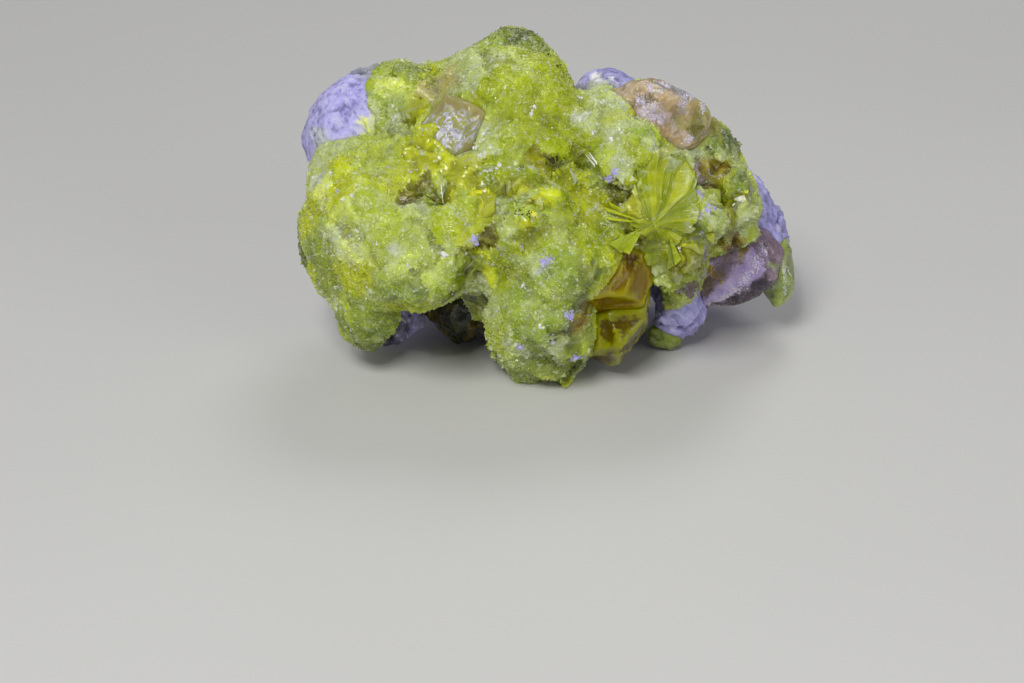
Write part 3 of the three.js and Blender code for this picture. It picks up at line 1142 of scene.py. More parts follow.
class Form(Enum):
    """Shapes of single small crystals, as corners and faces round the origin."""

    BLOCK = (
        ((-1, -1, -1), (1, -1, -1), (1, 1, -1), (-1, 1, -1), (-1, -1, 1), (1, -1, 1), (1, 1, 1), (-1, 1, 1)),
        ((0, 3, 2, 1), (4, 5, 6, 7), (0, 1, 5, 4), (1, 2, 6, 5), (2, 3, 7, 6), (3, 0, 4, 7)),
    )
    CHIP = (
        ((1, 1, 1), (-1, -1, 1), (-1, 1, -1), (1, -1, -1)),
        ((0, 2, 1), (0, 1, 3), (0, 3, 2), (1, 2, 3)),
    )
    BLADE = (
        (
            (0, -0.5, -0.2),
            (1, -0.6, -1),
            (0.95, 0.6, -1),
            (0, 0.5, -0.2),
            (0, -0.5, 0.2),
            (0.86, -0.6, 1),
            (0.82, 0.6, 1),
            (0, 0.5, 0.2),
        ),
        BLOCK[1],
    )


def random_turns(count: int, rng: np.random.Generator) -> Array:
    """Make rotations.

    Args:
        count: How many.
        rng: Source of chance.

    Returns:
        A 3 by 3 matrix for each.
    """
    q = rng.normal(size=(count, 4))
    w, x, y, z = (q / np.linalg.norm(q, axis=1, keepdims=True)).T
    rows = [
        [1 - 2 * (y * y + z * z), 2 * (x * y - z * w), 2 * (x * z + y * w)],
        [2 * (x * y + z * w), 1 - 2 * (x * x + z * z), 2 * (y * z - x * w)],
        [2 * (x * z - y * w), 2 * (y * z + x * w), 1 - 2 * (x * x + y * y)],
    ]
    return np.moveaxis(np.array(rows), 2, 0)


def crowd(form: Form, places: Array, sizes: Array, turns: Array) -> Surface:
    """Join many small crystals in one mesh.

    Args:
        form: Their shape.
        places: Their middles, in millimetres.
        sizes: Half their size along their own three axes, in millimetres.
        turns: Their rotations.

    Returns:
        The mesh.
    """
    corners, faces = (np.array(part) for part in form.value)
    points = np.einsum("nij,nkj->nki", turns, corners[None] * sizes[:, None, :]) + places[:, None, :]
    faces = faces[None] + (np.arange(len(places)) * len(corners))[:, None, None]
    return Surface(points.reshape(-1, 3), faces.reshape(-1, faces.shape[-1]))


def outward_mark(normals: Array, corners: int) -> dict[str, Array]:
    """The host's outward direction under each crystal, for each of the crystal's corners."""
    return {"host": np.repeat(np.pad(normals, ((0, 0), (0, 1))), corners, axis=0)}


@dataclass(frozen=True)
class SugarCoat:
    """A crust of tiny crystals on a stone.

    Attributes:
        name: The piece's name.
        slot: The record's material slot; not used.
        form: The crystals' shape.
        count: How many are sown.
        size: Half their usual size, in millimetres.
        seed: Seed of their places.
    """

    name: str
    slot: str
    form: Form
    count: int
    size: float
    seed: int

    def build(self, site: Site, host: str, surface: Surface, look: Look, weight: Array) -> None:
        """Sow the crystals and put them in the scene as one piece.

        Args:
            site: What they grow among.
            host: The node that carries them.
            surface: The stone that carries them.
            look: Its look.
            weight: How thickly they are sown at each of its corners.
        """
        rng = np.random.default_rng(self.seed)
        open_air = site.open_air(host, surface.points)
        places, normals, corners = surface.scatter(self.count, weight * open_air, rng)
        sizes = self.size * rng.lognormal(0, 0.3, (self.count, 1)) * rng.uniform(0.6, 1.4, (self.count, 3))
        middling = sizes.mean(axis=1, keepdims=True)
        places = places + normals * middling * rng.uniform(-0.8, 0.3, (self.count, 1))
        inside = site.holds(places, sizes)
        places, normals, sizes, corners = places[inside], normals[inside], sizes[inside], corners[inside]
        crust = crowd(self.form, places, sizes, random_turns(len(places), rng))
        per_crystal = len(self.form.value[0])
        mine = look.at(np.repeat(corners, per_crystal))
        # A few chips are whitened: white sugar, and a painted sparkle on the whitest.
        white = np.repeat(rng.uniform(0.0, 0.98, (len(places), 1)) ** 8, per_crystal, axis=0)
        white *= 0.6 + 0.4 * mine.frost[:, None]
        mine.tint[:, :3] *= np.array([1.0, 1.0, 0.8])
        mine.tint[:, :3] += (0.85 - mine.tint[:, :3]) * white
        piece = crust.piece(self.name, False, mine.marks() | outward_mark(normals, per_crystal))
        piece.visible_shadow = False
        finish = SugarFinish(self.name, glow=0.0, grain=0.5, tilt=0.1, clear=0.0, like_host=0.4)
        piece.data.materials.append(finish.material())
        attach(piece, BODY)


def even_look(habits: Sequence[Habit], count: int, corners: int, rng: np.random.Generator) -> Look:
    """Give each of some crystals the look of one kind of stone.

    Args:
        habits: The kinds that are drawn from.
        count: How many crystals there are.
        corners: How many corners each has.
        rng: Source of chance.

    Returns:
        The look of all their corners.
    """
    shades = [habits[k].value for k in rng.integers(len(habits), size=count)]
    light = BRIGHTER * rng.uniform(0.85, 1.15, (count, 1))
    tint = np.clip(np.array([linear(*shade.screen) for shade in shades]) * light, 0, LIGHTEST)
    rows = [tint, np.array([[shade.glassy, shade.frost, 0.0] for shade in shades])]
    tint, rest = (np.repeat(row, corners, axis=0) for row in rows)
    return Look(tint, rest[:, 0], rest[:, 1], rest[:, 2])


@dataclass(frozen=True)
class Arm:
    """Blades that leave a root side by side.

    Attributes:
        start: Direction of the first blade in degrees: 0 is right, 90 is up.
        end: Direction of the last one.
        length: How long they are, in millimetres.
        count: How many there are.
        width: Half the width of each, in millimetres.
        lean: How far their tips come forward, in millimetres.
    """

    start: float
    end: float
    length: float
    count: int
    width: float
    lean: float


def front(surface: Surface, x: Array, z: Array) -> Array:
    """Find how far forward a surface comes, seen from the front.

    Args:
        surface: The surface.
        x: How far right to look, in millimetres.
        z: How high to look, in millimetres.

    Returns:
        The y of the surface at each place, in millimetres.
    """
    around = np.hypot(surface.points[:, 0] - x.mean(), surface.points[:, 2] - z.mean()) < 8
    near = surface.points[around & (surface.points[:, 1] < 0)].astype(np.float32)
    found = []
    for columns in np.array_split(np.stack([x.ravel(), z.ravel()], axis=1), 1 + x.size // 400):
        gap = np.hypot(near[:, 0] - columns[:, :1], near[:, 2] - columns[:, 1:])
        found.append(np.where(gap < 0.45, near[:, 1], 0).min(axis=1))
    return np.concatenate(found).reshape(x.shape)


def closed_rings(rings: int, around: int) -> Array:
    """Join rings of corners, one round the other, in a closed sheet with a tip on each side.

    Args:
        rings: How many rings there are. Their corners come first, from the innermost ring out.
        around: How many corners a ring has, which is even.

    Returns:
        The corners of each face, with the two tips numbered after all the rings.
    """
    rows, columns = np.meshgrid(np.arange(rings - 1), np.arange(around), indexing="ij")
    following = (columns + 1) % around
    inner, outer = rows * around, (rows + 1) * around
    ring = [inner + columns, inner + following, outer + following, outer + columns]
    sheet = np.stack(ring, axis=-1).reshape(-1, 4)[:, ::-1]
    every_other = np.arange(0, around, 2)
    strip = np.stack([every_other, every_other + 1, (every_other + 2) % around], axis=-1)
    rim = (rings - 1) * around + strip[:, ::-1]
    front_cap = np.pad(strip, ((0, 0), (0, 1)), constant_values=rings * around)
    back_cap = np.pad(rim, ((0, 0), (0, 1)), constant_values=rings * around + 1)
    return np.concatenate([sheet, front_cap, back_cap])


@dataclass(frozen=True)
class Fan:
    """Long flat blades side by side, which spread from one root and lie on the stone.

    Attributes:
        name: The piece's name.
        slot: The record's material slot; not used.
        root: Where the blades meet, in millimetres.
        reaches: Pairs of a direction in degrees, 0 right and 90 up, and the blades' length there.
        blades: How many blades there are.
        finish: Their material.
        seed: Seed of their widths and tilts.
    """

    name: str
    slot: str
    root: Triple
    reaches: tuple[tuple[float, float], ...]
    blades: int
    finish: SugarFinish
    seed: int

    def build(self, host: Surface) -> None:
        """Make the fan and put it in the scene.

        Args:
            host: The stone that it lies on.
        """
        rng = np.random.default_rng(self.seed)
        edges = (np.arange(self.blades + 1) + rng.uniform(-0.3, 0.3, self.blades + 1)) / self.blades
        edges[[0, -1]] = 0, 1
        round_it, outward = 600, 40
        turn = np.linspace(0, 1, round_it, endpoint=False)
        blade = np.searchsorted(edges, turn, side="right") - 1
        across = (turn - edges[blade]) / (edges[blade + 1] - edges[blade])
        angle = np.radians(360 * turn)
        length = np.interp(360 * turn, *np.array(self.reaches).T, period=360)
        length *= rng.uniform(0.92, 1.05, self.blades)[blade]
        share = np.linspace(0.01, 1, outward)[:, None]
        x = self.root[0] + length * share * np.cos(angle)
        z = self.root[2] + length * share * np.sin(angle)
        y = np.minimum(front(host, x, z), self.root[1] + 3.0)
        for _ in range(8):
            y = (np.roll(y, 1, axis=1) + np.roll(y, -1, axis=1) + 2 * y) / 4
            y[1:-1] = (y[:-2] + y[2:] + 2 * y[1:-1]) / 4
        tilt = rng.uniform(-1, 1, self.blades)[blade] * (across - 0.5)
        level = rng.uniform(0.03, 0.16, self.blades)[blade]
        edge_on = smooth_step(-0.2, 0.7, np.cos(angle - 0.2))
        y -= (0.5 * level + 0.2 * tilt + 0.012 * np.cos(across * 6 * math.pi)) * share
        y += 0.5 * smooth_step(0.62, 1.0, share) * (1 - edge_on)
        y[-1] += 0.5
        hub = (self.root[0], y[0].mean(), self.root[2])
        heart = (self.root[0], self.root[1] + 3.0, self.root[2])
        points = np.concatenate([np.stack([x, y, z], axis=-1).reshape(-1, 3), [hub, heart]])
        shades = [Habit.LIME, Habit.LEMON, Habit.LEMON, Habit.PEAR]
        tint = np.array([linear(*shades[k].value.screen) for k in rng.integers(4, size=self.blades)])[blade]
        tint = tint * rng.uniform(0.92, 1.08, self.blades)[blade][:, None]
        # Each blade's edges are painted lighter: a painted highlight along the pleats.
        edge = smooth_step(0.09, 0.02, np.minimum(across, 1 - across))[:, None]
        tint = tint + (np.array(linear(214, 220, 110)) - tint) * 0.4 * edge
        tint = np.broadcast_to(tint, (outward, round_it, 4))
        pale = smooth_step(0.6, 0.95, share) * (0.3 + 0.7 * edge_on)
        look = Look(
            np.pad(np.clip(BRIGHTER * tint.reshape(-1, 4), 0, LIGHTEST), ((0, 2), (0, 0)), mode="edge"),
            np.full(len(points), 0.46),
            np.pad(pale.ravel() * 0.9, (0, 2)),
            np.zeros(len(points)),
        )
        faces = closed_rings(outward, round_it)
        piece = Surface(points, faces).piece(self.name, False, look.marks())
        piece.data.materials.append(self.finish.material())
        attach(piece, BODY)


@dataclass(frozen=True)
class Spray:
    """Blades or needles that spread from one root.

    Attributes:
        root: Where they meet, in millimetres.
        arms: The groups that they stand in.
        habits: The kinds of stone that they are.
        form: Their shape.
        seed: Seed of their places.
    """

    root: Triple
    arms: tuple[Arm, ...]
    habits: tuple[Habit, ...]
    form: Form
    seed: int

    def grow(self, host: Surface) -> tuple[Surface, Look]:
        """Make the spray.

        Args:
            host: The stone that it lies on.

        Returns:
            Its shape and look.
        """
        rng = np.random.default_rng(self.seed)
        root = np.array(self.root)
        places, sizes, turns = [], [], []
        for arm in self.arms:
            for angle in np.radians(np.linspace(arm.start, arm.end, arm.count)):
                angle += rng.normal(0, 0.03)
                length = arm.length * rng.uniform(0.75, 1.05)
                tip = root + length * np.array([math.cos(angle), 0.0, math.sin(angle)])
                ahead = float(front(host, tip[:1], tip[2:])[0])
                ahead = min(max(ahead, root[1] - 0.6), root[1] + 2.5)
                tip[1] = ahead - arm.lean * rng.uniform(0.5, 1.5)
                out = Vector(tip - root).normalized()
                side = Vector((-math.sin(angle), rng.uniform(-0.3, 0.3), math.cos(angle)))
                side = (side - out * side.dot(out)).normalized()
                turns.append(np.array([out, side.cross(out), side]).T)
                width = arm.width * rng.uniform(0.7, 1.3)
                sizes.append((float(np.linalg.norm(tip - root)), 0.07 + 0.2 * width, width))
                places.append(root + rng.normal(0, 0.1, 3))
        surface = crowd(self.form, np.array(places), np.array(sizes), np.array(turns))
        return surface, even_look(self.habits, len(places), len(self.form.value[0]), rng)


def joined(parts: Sequence[tuple[Surface, Look]]) -> tuple[Surface, Look]:
    """Join meshes whose faces have the same count of corners.

    Args:
        parts: The meshes with their looks.

    Returns:
        One mesh and its look.
    """
    starts = np.cumsum([0] + [len(surface.points) for surface, _ in parts[:-1]])
    points = np.concatenate([surface.points for surface, _ in parts])
    faces = np.concatenate([surface.faces + start for (surface, _), start in zip(parts, starts)])
    columns = zip(*[(look.tint, look.glassy, look.frost, look.sink) for _, look in parts])
    return Surface(points, faces), Look(*map(np.concatenate, columns))


@dataclass(frozen=True)
class SprayPiece:
    """Sprays that are one piece.

    Attributes:
        name: The piece's name.
        slot: The record's material slot; not used.
        sprays: The sprays.
        finish: Their material.
    """

    name: str
    slot: str
    sprays: tuple[Spray, ...]
    finish: SugarFinish

    def build(self, host: Surface) -> None:
        """Make the sprays and put them in the scene.

        Args:
            host: The stone that they lie on.
        """
        surface, look = joined([spray.grow(host) for spray in self.sprays])
        piece = surface.piece(self.name, False, look.marks())
        piece.data.materials.append(self.finish.material())
        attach(piece, BODY)


@dataclass(frozen=True)
class Flakes:
    """Flakes or crumbs of one kind of stone, which lie on another in small patches.

    Attributes:
        name: The piece's name.
        slot: The record's material slot; not used.
        patches: The middle of each patch and how far it goes, in millimetres.
        habit: The kind of stone that they are.
        crowd: How many flakes lie in each patch.
        size: Half a flake's usual length, in millimetres.
        seed: Seed of their places.
        form: A flake's shape.
        flatness: A flake's width and thickness, as shares of its length.
    """

    name: str
    slot: str
    patches: tuple[tuple[Triple, float], ...]
    habit: Habit
    crowd: int
    size: float
    seed: int
    form: Form = Form.BLOCK
    flatness: tuple[float, float] = (0.7, 0.4)

    def build(self, site: Site, surface: Surface) -> None:
        """Make the flakes and put them in the scene.

        Args:
            site: What they grow among.
            surface: The stone that carries them.
        """
        rng = np.random.default_rng(self.seed)
        middles, outward = [], []
        for place, reach in self.patches:
            far = np.linalg.norm(surface.points - np.array(place), axis=1) / reach
            places, normals, _ = surface.scatter(self.crowd, np.exp(-3 * far * far) + 1e-12, rng)
            middles.append(places + 0.2 * self.size * normals)
            outward.append(normals)
        middles, outward = np.concatenate(middles), np.concatenate(outward)
        sizes = self.size * rng.lognormal(0, 0.35, (len(middles), 1)) * np.array([1.0, *self.flatness])
        inside = site.holds(middles, sizes)
        middles, outward, sizes = middles[inside], outward[inside], sizes[inside]
        crumbs = crowd(self.form, middles, sizes, random_turns(len(middles), rng))
        corners = len(self.form.value[0])
        look = even_look([self.habit], len(middles), corners, rng)
        piece = crumbs.piece(self.name, False, look.marks() | outward_mark(outward, corners))
        piece.visible_shadow = False
        shine = {"lit": self.habit.value.screen, "sugar": (236, 234, 246), "dim": (0.85, 0.85, 0.9)}
        finish = SugarFinish(self.name, glow=0.0, grain=0.5, tilt=0.05, clear=0.0, like_host=0.5, **shine)
        piece.data.materials.append(finish.material())
        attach(piece, BODY)


@dataclass(frozen=True)
class BlockBed:
    """A patch of glassy, angular blocks.

    Attributes:
        place: Its middle, in millimetres.
        reach: How far it goes, in millimetres.
        count: How many blocks it has.
        size: Half a block's usual size, in millimetres.
    """

    place: Triple
    reach: float
    count: int
    size: float


@dataclass(frozen=True)
class GlassyBlocks:
    """The glassy blocks that stand out of the mass.

    Attributes:
        name: The piece's name.
        slot: The record's material slot; not used.
        beds: Where they lie.
        finish: Their material.
        seed: Seed of their shapes.
    """

    name: str
    slot: str
    beds: tuple[BlockBed, ...]
    finish: SugarFinish
    seed: int

    def build(self, site: Site, host: str, surface: Surface, look: Look) -> None:
        """Make the blocks and put them in the scene as one piece.

        Args:
            site: What they grow among.
            host: The node that carries them.
            surface: The stone that carries them.
            look: Its look.
        """
        rng = np.random.default_rng(self.seed)
        open_air = site.open_air(host, surface.points)
        shape = bmesh.new()
        beneath = shape.verts.layers.int.new("beneath")
        for bed in self.beds:
            far = np.linalg.norm(surface.points - np.array(bed.place), axis=1) / bed.reach
            weight = np.exp(-2 * far * far) * open_air + 1e-12
            places, normals, under = surface.scatter(bed.count, weight, rng)
            for place, normal, corner in zip(places, normals, under):
                span = bed.size * rng.uniform(0.6, 1.4)
                span = span * np.array([1.0, rng.uniform(0.5, 1), rng.uniform(0.4, 0.9)])
                cloud = rng.uniform(-1, 1, (14, 3))
                cloud /= np.abs(cloud).max(axis=1, keepdims=True) ** 0.9
                turned = (cloud * span) @ random_turns(1, rng)[0].T + place - normal * 0.55 * bed.size
                if site.holds(turned, np.zeros((1, 1))).all():
                    corners = [shape.verts.new(spot * MM) for spot in turned]
                    for vertex in corners:
                        vertex[beneath] = int(corner)
                    made = bmesh.ops.convex_hull(shape, input=corners)
                    loose = set(made["geom_interior"]) | set(made["geom_unused"])
                    bmesh.ops.delete(shape, geom=[v for v in loose if isinstance(v, bmesh.types.BMVert)])
        bmesh.ops.recalc_face_normals(shape, faces=shape.faces)
        shape.verts.index_update()
        points = np.array([vertex.co for vertex in shape.verts]) / MM
        faces = np.array([[vertex.index for vertex in face.verts] for face in shape.faces])
        mine = look.at(np.array([vertex[beneath] for vertex in shape.verts]))
        shape.free()
        mine.glassy = np.maximum(mine.glassy, 0.8)
        mine.tint = 0.6 * mine.tint + 0.4 * np.array(linear(*Habit.GOLD.value.screen))
        piece = Surface(points, faces).piece(self.name, False, mine.marks())
        piece.data.materials.append(self.finish.material())
        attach(piece, BODY)


# ---- Studio --------------------------------------------------------------------------------


@dataclass(frozen=True)
class Lamp:
    """A soft area light that looks at the specimen.

    Attributes:
        name: Its name.
        place: Where it stands, in millimetres.
        side: Its width, in millimetres.
        watts: Its power.
        shine: Share of it that shows in reflections.
    """

    name: str
    place: Triple
    side: float
    watts: float
    shine: float = 0.35

    def build(self) -> None:
        """Put the light in the scene."""
        light = bpy.data.lights.new(self.name, "AREA")
        light.shape = "DISK"
        light.size = self.side * MM
        light.energy = self.watts
        light.specular_factor = self.shine
        lamp = bpy.data.objects.new(self.name, light)
        lamp.location = Vector(self.place) * MM
        aim = Vector((0, 0, 10)) * MM - lamp.location
        lamp.rotation_euler = aim.to_track_quat("-Z", "Y").to_euler()
        bpy.context.scene.collection.objects.link(lamp)


@dataclass(frozen=True)
class Studio:
    """Floor, lights, sky and camera.

    Attributes:
        lamps: The lights.
        floor_side: The floor's width, in millimetres.
        aim: The point that the camera looks at, in millimetres.
        distance: How far the camera stands from it, in millimetres.
        elevation: How steeply it looks down, in degrees.
        lens: Its focal length for a 36 mm wide picture, in millimetres.
    """

    lamps: tuple[Lamp, ...]
    floor_side: float = 3000.0
    aim: Triple = (-2.731, 0.763, -0.658)
    distance: float = 217.48
    elevation: float = 25.0
    lens: float = 100.0

    def floor(self) -> None:
        """Lay the floor."""
        half = self.floor_side / 2
        corners = np.array([(-half, -half, 0), (half, -half, 0), (half, half, 0), (-half, half, 0)])
        floor = Surface(corners, np.array([(0, 1, 2, 3)])).piece("floor", False, {})
        r = Recipe("floor")
        base = r.mix(r.noise(40.0, 2.0), linear(214, 213, 210), linear(220, 219, 216))
        inputs = {"Base Color": base, "Roughness": 0.6, "Specular IOR Level": 0.3}
        floor.data.materials.append(r.finish(r.shader(inputs)))

    def sky(self) -> None:
        """Light everything evenly from all round."""
        world = bpy.data.worlds.new("studio")
        world.use_nodes = True
        world.node_tree.nodes["Background"].inputs["Color"].default_value = linear(225, 227, 232)
        world.node_tree.nodes["Background"].inputs["Strength"].default_value = 0.2
        bpy.context.scene.world = world

    def camera(self) -> None:
        """Set up the camera."""
        data = bpy.data.cameras.new("camera")
        data.lens = self.lens
        data.sensor_width = 36.0
        data.clip_start = 0.01
        camera = bpy.data.objects.new("camera", data)
        tip = math.radians(self.elevation)
        back = Vector((0, -math.cos(tip), math.sin(tip)))
        camera.location = (Vector(self.aim) + back * self.distance) * MM
        camera.rotation_euler = Euler((math.radians(90 - self.elevation), 0, 0))
        bpy.context.scene.collection.objects.link(camera)
        bpy.context.scene.camera = camera

    def build(self) -> None:
        """Set up the whole studio."""
        self.floor()
        self.sky()
        self.camera()
        for lamp in self.lamps:
            lamp.build()
        bpy.context.scene.view_settings.view_transform = "Standard"


# ---- This specimen -------------------------------------------------------------------------

